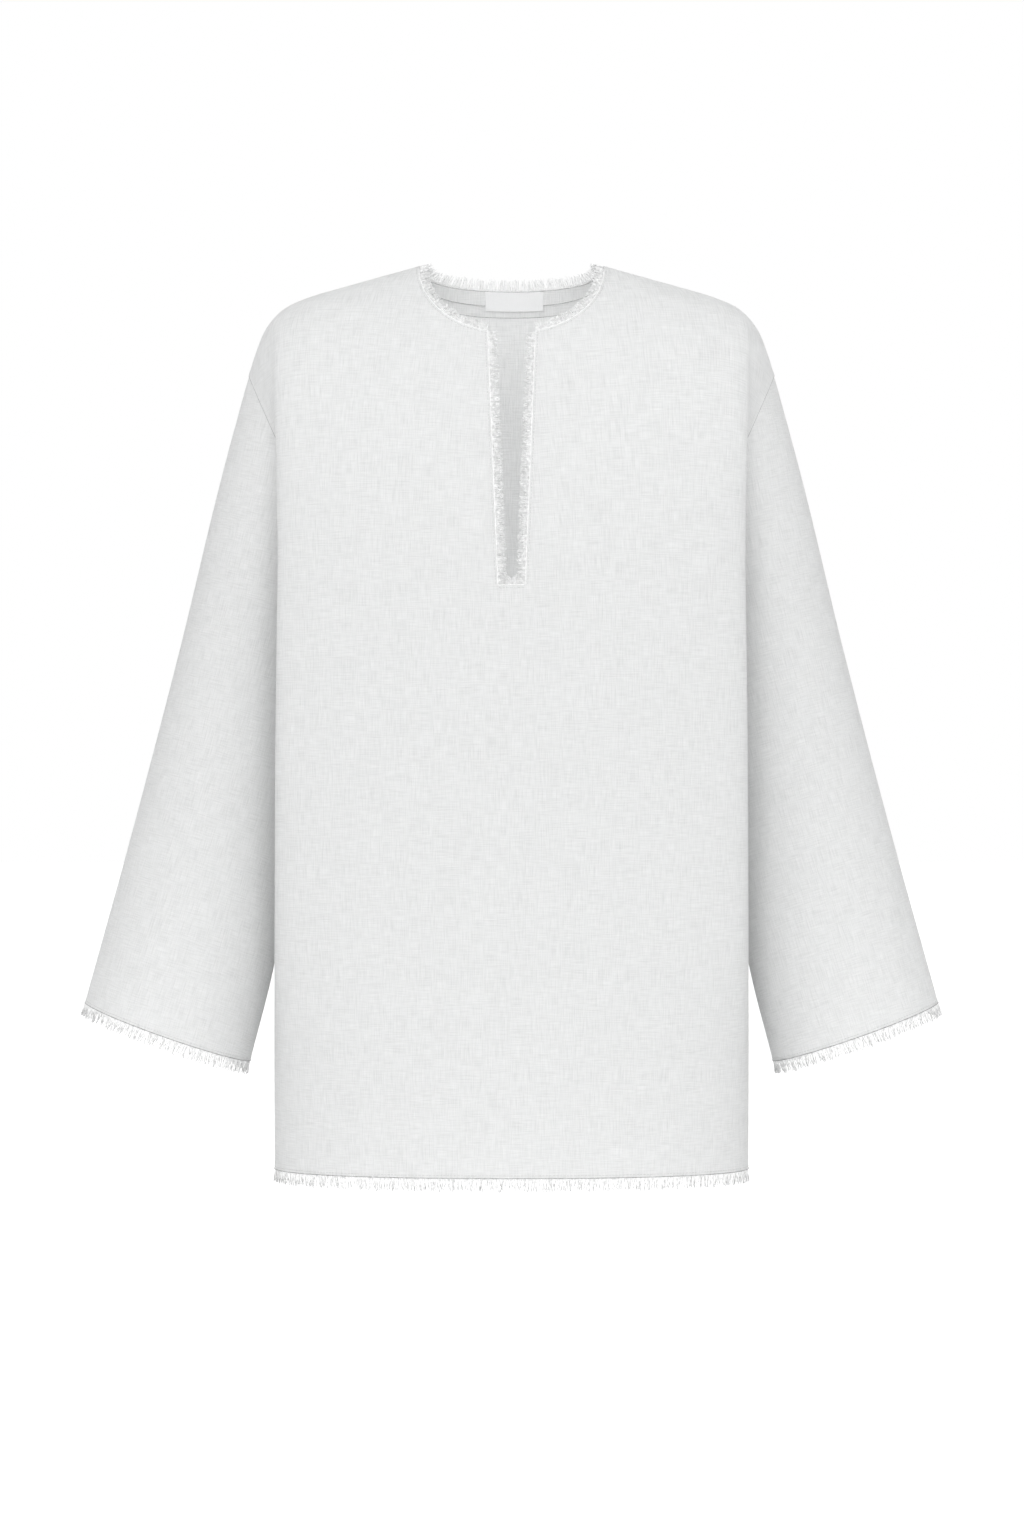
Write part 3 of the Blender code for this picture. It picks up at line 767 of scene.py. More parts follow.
STITCH_SHARE = 0.72  # of the pitch
STITCH = ((-0.5, 1.0), (-0.3, 0.0), (0.3, 0.0), (0.5, 1.0))  # places along it, and which go in
SINK = 0.00028  # how far a stitch's ends go into the cloth


def stitch_row(edge, inwards, height, pitch):
    """Paths of the stitches in a row that runs inwards of an edge, on the cloth's outer face."""
    read, reach = edge_reader(edge)
    count = int(reach / pitch)
    step = reach / count
    paths = []
    for i in range(count):
        path = []
        for t, sink in STITCH:
            point, _, away, out = read((i + 0.5) * step + t * step * STITCH_SHARE)
            path.append(point - away * inwards + out * (height - sink * SINK))
        paths.append(path)
    return paths


# Materials


def new_node(tree, kind, inputs=None, **values):
    node = tree.nodes.new(kind)
    for key, value in values.items():
        setattr(node, key, value)
    for key, value in (inputs or {}).items():
        if isinstance(value, bpy.types.NodeSocket):
            tree.links.new(value, node.inputs[key])
        else:
            node.inputs[key].default_value = value
    return node


def maths(tree, operation, a, b=0.0):
    return new_node(tree, "ShaderNodeMath", {0: a, 1: b}, operation=operation).outputs[0]


def noise(tree, vector, detail=2.0, roughness=0.5):
    node = new_node(
        tree,
        "ShaderNodeTexNoise",
        {"Vector": vector, "Scale": 1.0, "Detail": detail, "Roughness": roughness},
        noise_dimensions="2D",
    )
    return node.outputs[0]


def stretched(tree, value, low, high):
    node = new_node(
        tree,
        "ShaderNodeMapRange",
        {"Value": value, "From Min": low, "From Max": high, "To Min": 0.0, "To Max": 1.0},
        clamp=True,
    )
    return node.outputs[0]


def weighted(tree, start, *terms):
    """A start and the sum of values, each times its weight."""
    for value, weight in terms:
        inputs = {0: value, 1: weight, 2: start}
        start = new_node(tree, "ShaderNodeMath", inputs, operation="MULTIPLY_ADD").outputs[0]
    return start


WEAVE_SOCKETS = (
    ("Place", "NodeSocketVector", "INPUT"),
    ("Thread pitch", "NodeSocketFloat", "INPUT"),
    ("Slub width", "NodeSocketFloat", "INPUT"),
    ("Slub length", "NodeSocketFloat", "INPUT"),
    ("Dark", "NodeSocketColor", "INPUT"),
    ("Light", "NodeSocketColor", "INPUT"),
    ("Colour", "NodeSocketColor", "OUTPUT"),
    ("Height", "NodeSocketFloat", "OUTPUT"),
)
WARP_START, WEFT_START, FINE_WARP_START, FINE_WEFT_START = 3.7, 91.3, 17.9, 55.1
STREAK_ROUGHNESS = 0.6
FINE_LENGTH = 18.0  # of a fine streak, in threads
PATCHES = (45.0, 45.0, 1.0)  # to the metre, in each of which warp or weft shows more
PATCH_RANGE, SLUB_RANGE = (-0.10, 1.10), (0.40, 0.74)
WEFT_SHARE = 0.80
TONE, SLUB_TONE, FINE_TONE, PATCH_TONE = -0.285, 0.54, 0.47, 0.02
CROSSING_HEIGHT, SLUB_HEIGHT, FINE_HEIGHT = 0.25, 0.6, 0.4


def weave_group():
    """Plain weave with slubs: the colour and the height of a woven cloth from its place on it."""
    name = "plain_weave"
    if name in bpy.data.node_groups:
        return bpy.data.node_groups[name]
    group = bpy.data.node_groups.new(name, "ShaderNodeTree")
    for label, kind, way in WEAVE_SOCKETS:
        group.interface.new_socket(label, in_out=way, socket_type=kind)
    put = new_node(group, "NodeGroupInput").outputs
    place = new_node(group, "ShaderNodeSeparateXYZ", {0: put["Place"]})
    u, v = place.outputs[0], place.outputs[1]

    def streaks(across, along, width, length, shift, detail):
        x = maths(group, "ADD", maths(group, "DIVIDE", across, width), shift)
        y = maths(group, "DIVIDE", along, length)
        vector = new_node(group, "ShaderNodeCombineXYZ", {0: x, 1: y}).outputs[0]
        return noise(group, vector, detail, STREAK_ROUGHNESS)

    width, length, pitch = put["Slub width"], put["Slub length"], put["Thread pitch"]
    warp = streaks(u, v, width, length, WARP_START, 1.0)
    weft = streaks(v, u, width, length, WEFT_START, 1.0)
    fine_length = maths(group, "MULTIPLY", pitch, FINE_LENGTH)
    fine_warp = streaks(u, v, pitch, fine_length, FINE_WARP_START, 0.0)
    fine_weft = streaks(v, u, pitch, fine_length, FINE_WEFT_START, 0.0)
    patch = new_node(
        group, "ShaderNodeVectorMath", {0: put["Place"], 1: PATCHES}, operation="MULTIPLY"
    ).outputs[0]
    share = stretched(group, noise(group, patch, 1.0), *PATCH_RANGE)
    other = weighted(group, WEFT_SHARE, (share, -WEFT_SHARE))
    slub_warp = maths(group, "MULTIPLY", stretched(group, warp, *SLUB_RANGE), share)
    slub_weft = maths(group, "MULTIPLY", stretched(group, weft, *SLUB_RANGE), other)
    slubs = weighted(group, 1.0, (slub_warp, -1.0), (slub_weft, -1.0))
    fine = maths(group, "ADD", fine_warp, fine_weft)
    shade = weighted(group, TONE, (slubs, SLUB_TONE), (fine, FINE_TONE), (share, PATCH_TONE))
    colour = new_node(
        group,
        "ShaderNodeMix",
        {0: shade, 6: put["Dark"], 7: put["Light"]},
        data_type="RGBA",
        clamp_factor=True,
    )
    turn = maths(group, "DIVIDE", math.pi, pitch)
    over = maths(group, "SINE", maths(group, "MULTIPLY", u, turn))
    under = maths(group, "SINE", maths(group, "MULTIPLY", v, turn))
    crossing = maths(group, "MULTIPLY", over, under)
    height = weighted(
        group, 0.0, (crossing, CROSSING_HEIGHT), (slubs, SLUB_HEIGHT), (fine, FINE_HEIGHT)
    )
    out = new_node(group, "NodeGroupOutput")
    group.links.new(colour.outputs[2], out.inputs["Colour"])
    group.links.new(height, out.inputs["Height"])
    return group


SPECULAR = 0.2
CLOTH_SHEEN_ROUGHNESS = 0.5


def new_material(name):
    """A material with its node tree and its own shader, with the little gloss that linen has."""
    material = bpy.data.materials.new(name)
    material.use_nodes = True
    shader = material.node_tree.nodes["Principled BSDF"]
    shader.inputs["Specular IOR Level"].default_value = SPECULAR
    return material, material.node_tree, shader


def cloth_material(
    name, dark, light, pitch, slub_width, slub_length, relief, roughness, sheen, glow
):
    """Woven cloth, which lets a share of the light through: its glow."""
    if name in bpy.data.materials:
        return bpy.data.materials[name]
    material, tree, shader = new_material(name)
    place = new_node(tree, "ShaderNodeUVMap", uv_map="grain").outputs[0]
    values = {
        "Place": place,
        "Thread pitch": pitch,
        "Slub width": slub_width,
        "Slub length": slub_length,
        "Dark": (*dark, 1.0),
        "Light": (*light, 1.0),
    }
    weave = new_node(tree, "ShaderNodeGroup", values, node_tree=weave_group()).outputs
    bump = new_node(tree, "ShaderNodeBump", {"Distance": relief, "Height": weave["Height"]})
    tree.links.new(weave["Colour"], shader.inputs["Base Color"])
    tree.links.new(bump.outputs[0], shader.inputs["Normal"])
    shader.inputs["Roughness"].default_value = roughness
    shader.inputs["Sheen Weight"].default_value = sheen
    shader.inputs["Sheen Roughness"].default_value = CLOTH_SHEEN_ROUGHNESS
    lit = {"Color": weave["Colour"], "Normal": bump.outputs[0]}
    through = new_node(tree, "ShaderNodeBsdfTranslucent", lit)
    both = new_node(
        tree, "ShaderNodeMixShader", {0: glow, 1: shader.outputs[0], 2: through.outputs[0]}
    )
    tree.links.new(both.outputs[0], tree.nodes["Material Output"].inputs["Surface"])
    return material


THREAD_SHEEN = 0.15
TONE_SCALE, TWIST_SCALE = 420.0, 3200.0
TONE_RANGE, TIP_SHADE_RANGE = (0.3, 0.7), (0.0, 0.52)
TWIST_RELIEF = 0.00005


def thread_material(name, dark, light, roughness, painted_tip_shade=0.0):
    """Twisted thread: a colour that changes at random along it, painted shade that darkens it
    towards its end, and a relief.
    """
    if name in bpy.data.materials:
        return bpy.data.materials[name]
    material, tree, shader = new_material(name)
    place = new_node(tree, "ShaderNodeTexCoord").outputs["Object"]

    def patches(scale, detail):
        inputs = {"Vector": place, "Scale": scale, "Detail": detail}
        return new_node(tree, "ShaderNodeTexNoise", inputs, noise_dimensions="3D").outputs[0]

    tone = patches(TONE_SCALE, 2.0)
    share = stretched(tree, tone, *TONE_RANGE)
    # Painted shade: the share falls along the thread, so that its end comes out darker.
    if painted_tip_shade:
        uvs = new_node(tree, "ShaderNodeUVMap", uv_map="UVMap").outputs[0]
        along = new_node(tree, "ShaderNodeSeparateXYZ", {0: uvs}).outputs[0]
        share = stretched(tree, weighted(tree, tone, (along, -painted_tip_shade)), *TIP_SHADE_RANGE)
    shades = {0: share, 6: (*dark, 1.0), 7: (*light, 1.0)}
    colour = new_node(tree, "ShaderNodeMix", shades, data_type="RGBA")
    twist = {"Distance": TWIST_RELIEF, "Height": patches(TWIST_SCALE, 1.0)}
    bump = new_node(tree, "ShaderNodeBump", twist)
    tree.links.new(colour.outputs[2], shader.inputs["Base Color"])
    tree.links.new(bump.outputs[0], shader.inputs["Normal"])
    shader.inputs["Roughness"].default_value = roughness
    shader.inputs["Sheen Weight"].default_value = THREAD_SHEEN
    return material


# Settings


def length_property(name, description, default):
    return FloatProperty(
        name=name, description=description, default=default, unit="LENGTH", precision=5
    )


def number_property(name, description, default):
    return FloatProperty(name=name, description=description, default=default)


def colour_property(name, description, default):
    return FloatVectorProperty(
        name=name, description=description, default=default, subtype="COLOR", min=0.0, max=1.0
    )


class ShirtCloth(bpy.types.PropertyGroup):
    """The linen and how it is sewn."""

    thickness: length_property("Thickness", "Thickness of the linen", 0.0009)
    lap: length_property("Lap", "How far one piece stands over the next at a seam", 0.0004)
    dark: colour_property(
        "Dark threads", "Colour of the linen's darker threads", (0.76, 0.765, 0.763)
    )
    light: colour_property(
        "Light threads", "Colour of the linen's lighter threads", (0.93, 0.932, 0.932)
    )
    pitch: length_property("Thread pitch", "From one thread of the weave to the next", 0.00062)
    slub_width: length_property("Slub width", "Width of the thicker stretches of thread", 0.00105)
    slub_length: length_property("Slub length", "Length of the thicker stretches of thread", 0.022)
    relief: length_property("Relief", "Height of the weave", 0.00022)
    glow: FloatProperty(
        name="Glow", description="Share of the light that each face of the thin cloth lets through",
        default=0.50, subtype="FACTOR", min=0.0, max=1.0,
    )


class ShirtSewing(bpy.types.PropertyGroup):
    """The turned edges and the rows of stitches."""

    roll: length_property("Turned edge", "Radius of the turned edge at neck and slit", 0.00055)
    # Radius of the dark grey cord that paints the shadow line where the cloth's edge meets its
    # fringe
    cord: length_property(
        "Edge cord", "Radius of the darker thread along hem, cuffs and back neck", 0.00026
    )
    # Radius of the raised cord whose dark grey paints the shadow line of the armhole seams and of
    # the tape's and facing's lower edges
    seam: length_property(
        "Seam cord", "Radius of the thread along the armholes, the tape and the facing", 0.00034
    )
    pitch: length_property("Stitch pitch", "From one stitch to the next", 0.0030)
    radius: length_property("Thread radius", "Radius of the sewing thread", 0.00020)
    inset: length_property("Inset", "From a frayed edge to its row of stitches", 0.0024)


class ShirtFringe(bpy.types.PropertyGroup):
    """The loose threads of the frayed edges."""

    spacing: length_property("Spacing", "From one loose thread to the next", 0.00076)
    width: length_property("Width", "Thickness of a loose thread at its root", 0.00066)
    tip: number_property("Tip", "Width of a thread's end, as a share of its root's", 0.55)
    root: length_property("Root", "How far a thread reaches into the cloth", 0.0012)
    lean: number_property(
        "Lean", "How far the threads lean aside, as a share of their length", 0.20
    )
    lift: number_property("Lift", "How far they stand out, as a share of their length", 0.14)
    long: length_property(
        "Length at hem and cuffs", "Longest thread at the hem and the cuffs", 0.0122
    )
    short: length_property(
        "Length at neck and slit", "What the lengths of thread at neck and slit scale with", 0.0084
    )
    colour: colour_property("Colour", "Colour of the loose threads", (0.93, 0.932, 0.932))


class ShirtStudio(bpy.types.PropertyGroup):
    """The floor, the light and the camera."""

    floor: length_property("Floor", "Height of the floor below the neck", -1.42)
    ambient: number_property("Ambient", "Light from all round, at the shirt's height", 1.26)
    overhead: number_property("Overhead", "Light from above", 0.86)
    key: number_property("Key", "Power of the large light by the camera", 104.0)
    distance: length_property("Distance", "From the camera to the shirt", 3.70)
    pixel: length_property("Pixel", "Size of a pixel of the picture at the shirt", 0.000875)
    image_height: IntProperty(name="Height", description="Height of the picture", default=1535)


# Making

GRAIN_STEP = 2.0  # in metres, so that no two pieces show the same weave

_made = {}


def shirt_sheets():
    """The sewn sheets, made once and shared by the operators."""
    if "sheets" not in _made:
        settings = bpy.context.scene.shirt_cloth
        sheets = make_sheets()
        for number, sheet in enumerate(sheets.values()):
            rough = rough_grain_on_sleeve if sheet.closed else rough_grain_on_panel
            lay_grain(sheet, rough(sheet), GRAIN_STEP * number)
        lap_seams(sheets, settings.lap)
        _made["sheets"] = sheets
    return _made["sheets"]


def linen(name="slubbed_linen", glow=None):
    settings = bpy.context.scene.shirt_cloth
    glow = settings.glow if glow is None else glow
    return cloth_material(
        name, settings.dark, settings.light, settings.pitch, settings.slub_width,
        settings.slub_length, settings.relief, roughness=0.88, sheen=0.12, glow=glow,
    )


def loose_thread(name, dark, light=1.0, painted_tip_shade=0.0):
    """Frayed linen thread, whose darkest and lightest stretches have a share of its colour: random
    tone, set darker or lighter for each fringe as painted shade.
    """
    colour = bpy.context.scene.shirt_fringe.colour
    shades = [tuple(share * c for c in colour) for share in (dark, light)]
    return thread_material(name, *shades, roughness=0.85, painted_tip_shade=painted_tip_shade)


def grey_thread(name, dark, light, roughness=0.8):
    return thread_material(name, (dark,) * 3, (light,) * 3, roughness)


def free_edges():
    """The edges that are frayed, by the name of the solid that each one's fringe replaces."""
    sheets = shirt_sheets()
    front, back = sheets["front"], sheets["back"]
    edges = {}
    for name, sheet in (("front", front), ("back", back)):
        run = np.arange(sheet.points.shape[1])
        edges[f"hem_fringe_{name}"] = edge_of(sheet, (0, run), (1, run))
    around = np.arange(2 * HALF_ROUND)
    for name in ("left", "right"):
        sleeve = sheets[f"sleeve_{name}"]
        edges[f"cuff_fringe_{name}"] = edge_of(sleeve, (-1, around), (-2, around))
    middle = front.points.shape[1] // 2
    foot = SLIT_ROW * FINER
    slit_rows = np.arange(foot, len(front.points))
    reach = (len(FRONT_NECK_COLUMNS) - 1) * FINER
    for side, name in ((1, "left"), (-1, "right")):
        run = middle + side * np.arange(FINER, reach + 1)
        edges[f"neck_fringe_{name}"] = edge_of(front, (-1, run), (-2, run))
        beside = middle + side * FINER
        edges[f"slit_fringe_{name}"] = edge_of(
            front, (slit_rows, beside), (slit_rows, beside + side)
        )
    run = middle + np.arange(-FINER, FINER + 1)
    edges["slit_fringe_foot"] = edge_of(front, (foot, run), (foot - 1, run))
    middle = back.points.shape[1] // 2
    reach = (len(BACK_NECK_COLUMNS) - 1) * FINER
    run = middle + np.arange(-reach, reach + 1)
    edges["neck_fringe_back"] = edge_of(back, (-1, run), (-2, run))
    return edges


Cut = namedtuple("Cut", "flat area sewn_to fringes")


def declare(piece, node=None):
    """Attach a piece to the root, and hide the solid that it stands for, if any."""
    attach(piece, "root")
    if node:
        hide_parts(node)


def add_shirt_piece(node):
    half = bpy.context.scene.shirt_cloth.thickness / 2
    piece = add_cloth(f"{node}_cloth", shirt_sheets()[node], -half, half, linen())
    declare(piece, node)


# seed is the first node's, share scales the long or short length, ends is what stays free at each
# end of the edge, and loops is the share of the threads that turn back to it.
Fringe = namedtuple("Fringe", "nodes seed kind share ends loops thread")

# A loose thread's name, its darkest and lightest shares of the colour, and how its end darkens;
# each fringe's shares and its darker end are painted shade, set for how that fringe is lit
FRAYED_EDGE_TONE_AND_PAINTED_SHADE = ("frayed_edge_tone_and_painted_shade", 0.50, 1.0, 0.42)
FRAYED_OPENING_TONE_AND_PAINTED_SHADE = ("frayed_opening_tone_and_painted_shade", 0.65, 0.97)
FRAYED_BACK_NECK_TONE_AND_PAINTED_SHADE = ("frayed_back_neck_tone_and_painted_shade", 0.80, 1.0, 0.20)

HEM = Fringe(("hem_fringe_front", "hem_fringe_back"), 11, "long", 1.0, 0.0, 0.12, FRAYED_EDGE_TONE_AND_PAINTED_SHADE)
CUFFS = Fringe(("cuff_fringe_left", "cuff_fringe_right"), 21, "long", 1.0, 0.0, 0.12, FRAYED_EDGE_TONE_AND_PAINTED_SHADE)
NECK = Fringe(
    ("neck_fringe_left", "neck_fringe_right"), 31, "short", 1.05, 0.001, 0.5, FRAYED_OPENING_TONE_AND_PAINTED_SHADE
)
BACK_OF_NECK = Fringe(("neck_fringe_back",), 33, "short", 1.45, 0.002, 0.3, FRAYED_BACK_NECK_TONE_AND_PAINTED_SHADE)
SLIT_NODES = ("slit_fringe_left", "slit_fringe_right", "slit_fringe_foot")
SLIT = Fringe(SLIT_NODES, 51, "short", 0.98, 0.001, 0.5, FRAYED_OPENING_TONE_AND_PAINTED_SHADE)
SHORTEST_SHARE = 0.76
RUN_OFFSETS = (0.0006, 0.0015, 0.0025)
LONG_FRINGE = 0.0105  # from here on, one running thread fewer is left
RUN_SEED = 40


def add_fringe(fringe):
    """The loose threads in place of each fringe's solid, joined with those that are tied in."""
    settings = bpy.context.scene.shirt_fringe
    length = fringe.share * getattr(settings, fringe.kind)
    lengths = (SHORTEST_SHARE * length, length)
    offsets = RUN_OFFSETS[:-1] if length > LONG_FRINGE else RUN_OFFSETS
    thread = loose_thread(*fringe.thread)
    edges = free_edges()
    for seed, node in enumerate(fringe.nodes, fringe.seed):
        edge = edges[node]
        loose, tied = frayed_threads(edge, lengths, settings, seed, fringe.ends, fringe.loops)
        tied += running_threads(edge, offsets, settings, seed + RUN_SEED, fringe.ends)
        tied = add_threads(f"{node}_tied", tied, settings.width / 2, thread)
        tied.data.uv_layers[0].data.foreach_set("uv", np.zeros(2 * len(tied.data.loops)))
        piece = add_threads(f"{node}_threads", loose, settings.width / 2, thread)
        tied.select_set(True)
        bpy.ops.object.join()
        declare(piece, node)


class SHIRT_OT_front(bpy.types.Operator):
    """Make the front with its slit"""

    bl_idname = "shirt.front"
    bl_label = "Front"

    def execute(self, context):
        add_shirt_piece("front")
        return {"FINISHED"}


class SHIRT_OT_back(bpy.types.Operator):
    """Make the back"""

    bl_idname = "shirt.back"
    bl_label = "Back"

    def execute(self, context):
        add_shirt_piece("back")
        return {"FINISHED"}


class SHIRT_OT_sleeves(bpy.types.Operator):
    """Make the two sleeves"""

    bl_idname = "shirt.sleeves"
    bl_label = "Sleeves"

    def execute(self, context):
        add_shirt_piece("sleeve_left")
        add_shirt_piece("sleeve_right")
        return {"FINISHED"}


TAPE = LABEL = 0.0008
TAPE_GAP = 0.0003
LABEL_BELOW_TAPE = 0.0045
LABEL_SHIFT = 0.0026
FACING_DEPTH = 0.027  # from the back neckline to the lower edge of its facing
FACING = 0.00035
FACING_GAP = 0.00005
TAPE_GRAIN, FACING_GRAIN = 3.0, 5.0  # shift of their weave from that of the back
TAPE_GLOW = 0.04
LABEL_DARK, LABEL_LIGHT = (0.92, 0.922, 0.925), (0.96, 0.962, 0.965)


def neck_strip(first, shift):
    """The back from a row up, between the neck points, with its weave from another place."""
    back = shirt_sheets()["back"]
    middle = back.points.shape[1] // 2
    reach = (len(BACK_NECK_COLUMNS) - 1) * FINER
    spots = slice(first, None), slice(middle - reach, middle + reach + 1)
    strip = Sheet(back.points[spots], -1)
    strip.normal, strip.grain = back.normal[spots], back.grain[spots] + shift
    return strip


def tape_linen():
    return linen("tape_linen", TAPE_GLOW)


class SHIRT_OT_neck_tape(bpy.types.Operator):
    """Make the tape that faces the back neck on the inside"""

    bl_idname = "shirt.neck_tape"
    bl_label = "Neck tape"

    def execute(self, context):
        tape = neck_strip(-FINER - 1, TAPE_GRAIN)
        under = -WALL / 2 - TAPE_GAP
        piece = add_cloth("neck_tape_cloth", tape, under - TAPE, under, tape_linen())
        declare(piece, "neck_tape")
        add_seam_shadow_cord("tape_shadow_cord", [tape.points[0] + tape.normal[0] * (under - TAPE)])
        return {"FINISHED"}


class SHIRT_OT_neck_facing(bpy.types.Operator):
    """Make the facing that shows below the neck tape"""

    bl_idname = "shirt.neck_facing"
    bl_label = "Neck facing"

    def execute(self, context):
        back = shirt_sheets()["back"]
        depth = reach_along(back.points[::-1], 0)[:, back.points.shape[1] // 2]
        lowest = -1 - int(np.argmin(np.abs(depth - FACING_DEPTH)))
        facing = neck_strip(lowest, FACING_GRAIN)
        far = -context.scene.shirt_cloth.thickness / 2 - FACING_GAP
        piece = add_cloth("neck_facing", facing, far - FACING, far, tape_linen())
        declare(piece)
        add_seam_shadow_cord("facing_shadow_cord", [facing.points[0] + facing.normal[0] * (far - FACING)])
        return {"FINISHED"}


class SHIRT_OT_label(bpy.types.Operator):
    """Make the woven label, which is blank"""

    bl_idname = "shirt.label"
    bl_label = "Label"

    def execute(self, context):
        back = shirt_sheets()["back"]
        middle = back.points.shape[1] // 2
        beside = slice(middle - FINER, middle + FINER + 1)
        rows = slice(-2 * FINER - 1, None)
        points, normal = back.points[rows, beside].copy(), back.normal[rows, beside].copy()
        lowest, lowest_normal = points[0].copy(), normal[0].copy()
        share = LABEL_BELOW_TAPE / np.linalg.norm(points[FINER, FINER] - points[0, FINER])
        for r in range(FINER):
            t = share * (1 - r / FINER)
            points[r] = points[FINER] + (lowest - points[FINER]) * t
            normal[r] = unit(normal[FINER] + (lowest_normal - normal[FINER]) * t)
        points[:, :, 0] += LABEL_SHIFT
        label = Sheet(points, -1)
        label.normal = normal
        label.grain = np.stack((reach_along(points, 1), reach_along(points, 0)), axis=-1)
        under = -WALL / 2 - TAPE - 2 * TAPE_GAP
        satin = cloth_material(
            "label_satin", LABEL_DARK, LABEL_LIGHT, pitch=0.00030, slub_width=0.0006,
            slub_length=0.012, relief=0.00006, roughness=0.55, sheen=0.1, glow=0.06,
        )
        piece = add_cloth("neck_label_cloth", label, under - LABEL, under, satin)
        declare(piece, "neck_label")
        return {"FINISHED"}


ARMHOLE_CORD_LIFT = 0.0009
ARMHOLE_CORD_ASIDE = 0.0005
ROLL_IN, ROLL_OUT = 0.6, 0.4  # shares of the turned edge's radius and of half the linen
NECK_CORD_SHARE = 0.7
STITCH_LIFT = 0.6  # share of the sewing thread's radius
EDGE_SHADE, EDGE_ROUGHNESS = 0.88, 0.88
# The edge cord's dark greys paint the shadow line where the cloth's edge meets its fringe.
# The seam cord's greys paint the shadow line along the armhole seams and the lower edges of the
# tape and facing, on a raised cord.
SEAM_SHADOW_GREYS, EDGE_SHADOW_GREYS, SEWING_GREYS = (0.42, 0.58), (0.24, 0.42), (0.56, 0.74)


# A raised cord, dark grey to paint the shadow line along the seams and edges that it follows.
def add_seam_shadow_cord(name, lines):
    radius = bpy.context.scene.shirt_sewing.seam
    seam = grey_thread("seam_shadow_cord", *SEAM_SHADOW_GREYS)
    declare(add_threads(name, lines, radius, seam, resolution=1))


def armhole_lines():
    """The line of each armhole's seam, on the outside of the shirt."""
    sheets = shirt_sheets()
    lines = []
    for name in ("sleeve_left", "sleeve_right"):
        points, normal = sheets[name].points[0], sheets[name].normal[0]
        line = points + normal * ARMHOLE_CORD_LIFT
        line += unit(sheets[name].points[1] - points) * ARMHOLE_CORD_ASIDE
        lines.append(np.concatenate((line, line[:1])))
    return lines


def edge_shadow_lines(edges, cord, height):
    """Lines of a dark cord, painted shadow where cloth meets fringe at hem and cuffs, and on the
    tape at the back neck.
    """
    lines = []
    for node, edge in edges.items():
        line = edge.points + edge.out * (height + cord)
        if node == "neck_fringe_back":
            under = WALL / 2 + TAPE_GAP + TAPE + cord
            line = edge.points + edge.away * cord - edge.out * under
            widths = np.full((len(line), 1), NECK_CORD_SHARE)
            lines.append(np.hstack((line, widths))[FINER:-FINER])
        elif "hem" in node:
            lines.append(line)
        elif "cuff" in node:
            lines.append(np.concatenate((line, line[:1])))
    return lines


def linen_edge():
    settings = bpy.context.scene.shirt_cloth
    shades = [tuple(EDGE_SHADE * c for c in tone) for tone in (settings.dark, settings.light)]
    return thread_material("linen_edge", *shades, EDGE_ROUGHNESS)


class SHIRT_OT_sewing(bpy.types.Operator):
    """Make the turned edges and the rows of stitches"""

    bl_idname = "shirt.sewing"
    bl_label = "Sewing"

    def execute(self, context):
        settings = context.scene.shirt_sewing
        height = context.scene.shirt_cloth.thickness / 2
        edges = free_edges()
        rolls = [
            edge.points - edge.away * settings.roll * ROLL_IN + edge.out * height * ROLL_OUT
            for node, edge in edges.items()
            if "neck" in node or "slit" in node
        ]
        piece = add_threads("turned_edges", rolls, settings.roll, linen_edge(), resolution=2)
        declare(piece)
        # A dark grey cord paints the shadow line where the cloth's edge meets its fringe.
        lines = edge_shadow_lines(edges, settings.cord, height)
        cord = grey_thread("edge_shadow_cord", *EDGE_SHADOW_GREYS)
        declare(add_threads("edge_shadow_cords", lines, settings.cord, cord, 1))
        # The armhole cords' grey paints the seams' shadow line.
        add_seam_shadow_cord("armhole_shadow_cords", armhole_lines())
        lift, paths = height + settings.radius * STITCH_LIFT, []
        for edge in edges.values():
            paths += stitch_row(edge, settings.inset, lift, settings.pitch)
        thread = grey_thread("sewing_thread", *SEWING_GREYS, roughness=0.6)
        declare(add_threads("edge_stitches", paths, settings.radius, thread, 1))
        return {"FINISHED"}


class SHIRT_OT_hem_fringe(bpy.types.Operator):
    """Make the frayed hem"""

    bl_idname = "shirt.hem_fringe"
    bl_label = "Hem fringe"

    def execute(self, context):
        add_fringe(HEM)
        return {"FINISHED"}


class SHIRT_OT_cuff_fringe(bpy.types.Operator):
    """Make the frayed cuffs"""

    bl_idname = "shirt.cuff_fringe"
    bl_label = "Cuff fringe"

    def execute(self, context):
        add_fringe(CUFFS)
        return {"FINISHED"}


class SHIRT_OT_neck_fringe(bpy.types.Operator):
    """Make the frayed neckline"""

    bl_idname = "shirt.neck_fringe"
    bl_label = "Neck fringe"

    def execute(self, context):
        add_fringe(NECK)
        add_fringe(BACK_OF_NECK)
        return {"FINISHED"}


class SHIRT_OT_slit_fringe(bpy.types.Operator):
    """Make the frayed slit"""

    bl_idname = "shirt.slit_fringe"
    bl_label = "Slit fringe"

    def execute(self, context):
        add_fringe(SLIT)
        return {"FINISHED"}


FLOOR_RADIUS, FLOOR_SIDES = 40.0, 96
FLOOR_SHADE, FLOOR_ROUGHNESS = 0.66, 0.9
FLOOR_GLOW = 0.5  # only as the camera sees it
Light = namedtuple("Light", "name place target size share")
KEY = Light("key", (0.0, -4.0, 0.0), (0.0, 0.0, -0.42), 4.2, 1.0)
FILL = Light("fill", (0.0, 4.0, -0.3), (0.0, 0.0, -0.45), 3.0, 0.95)
SENSOR = 36.0  # width of the camera's film, in millimetres
CAMERA_X, CAMERA_Z = 0.0004, -0.438
FAR = 200.0


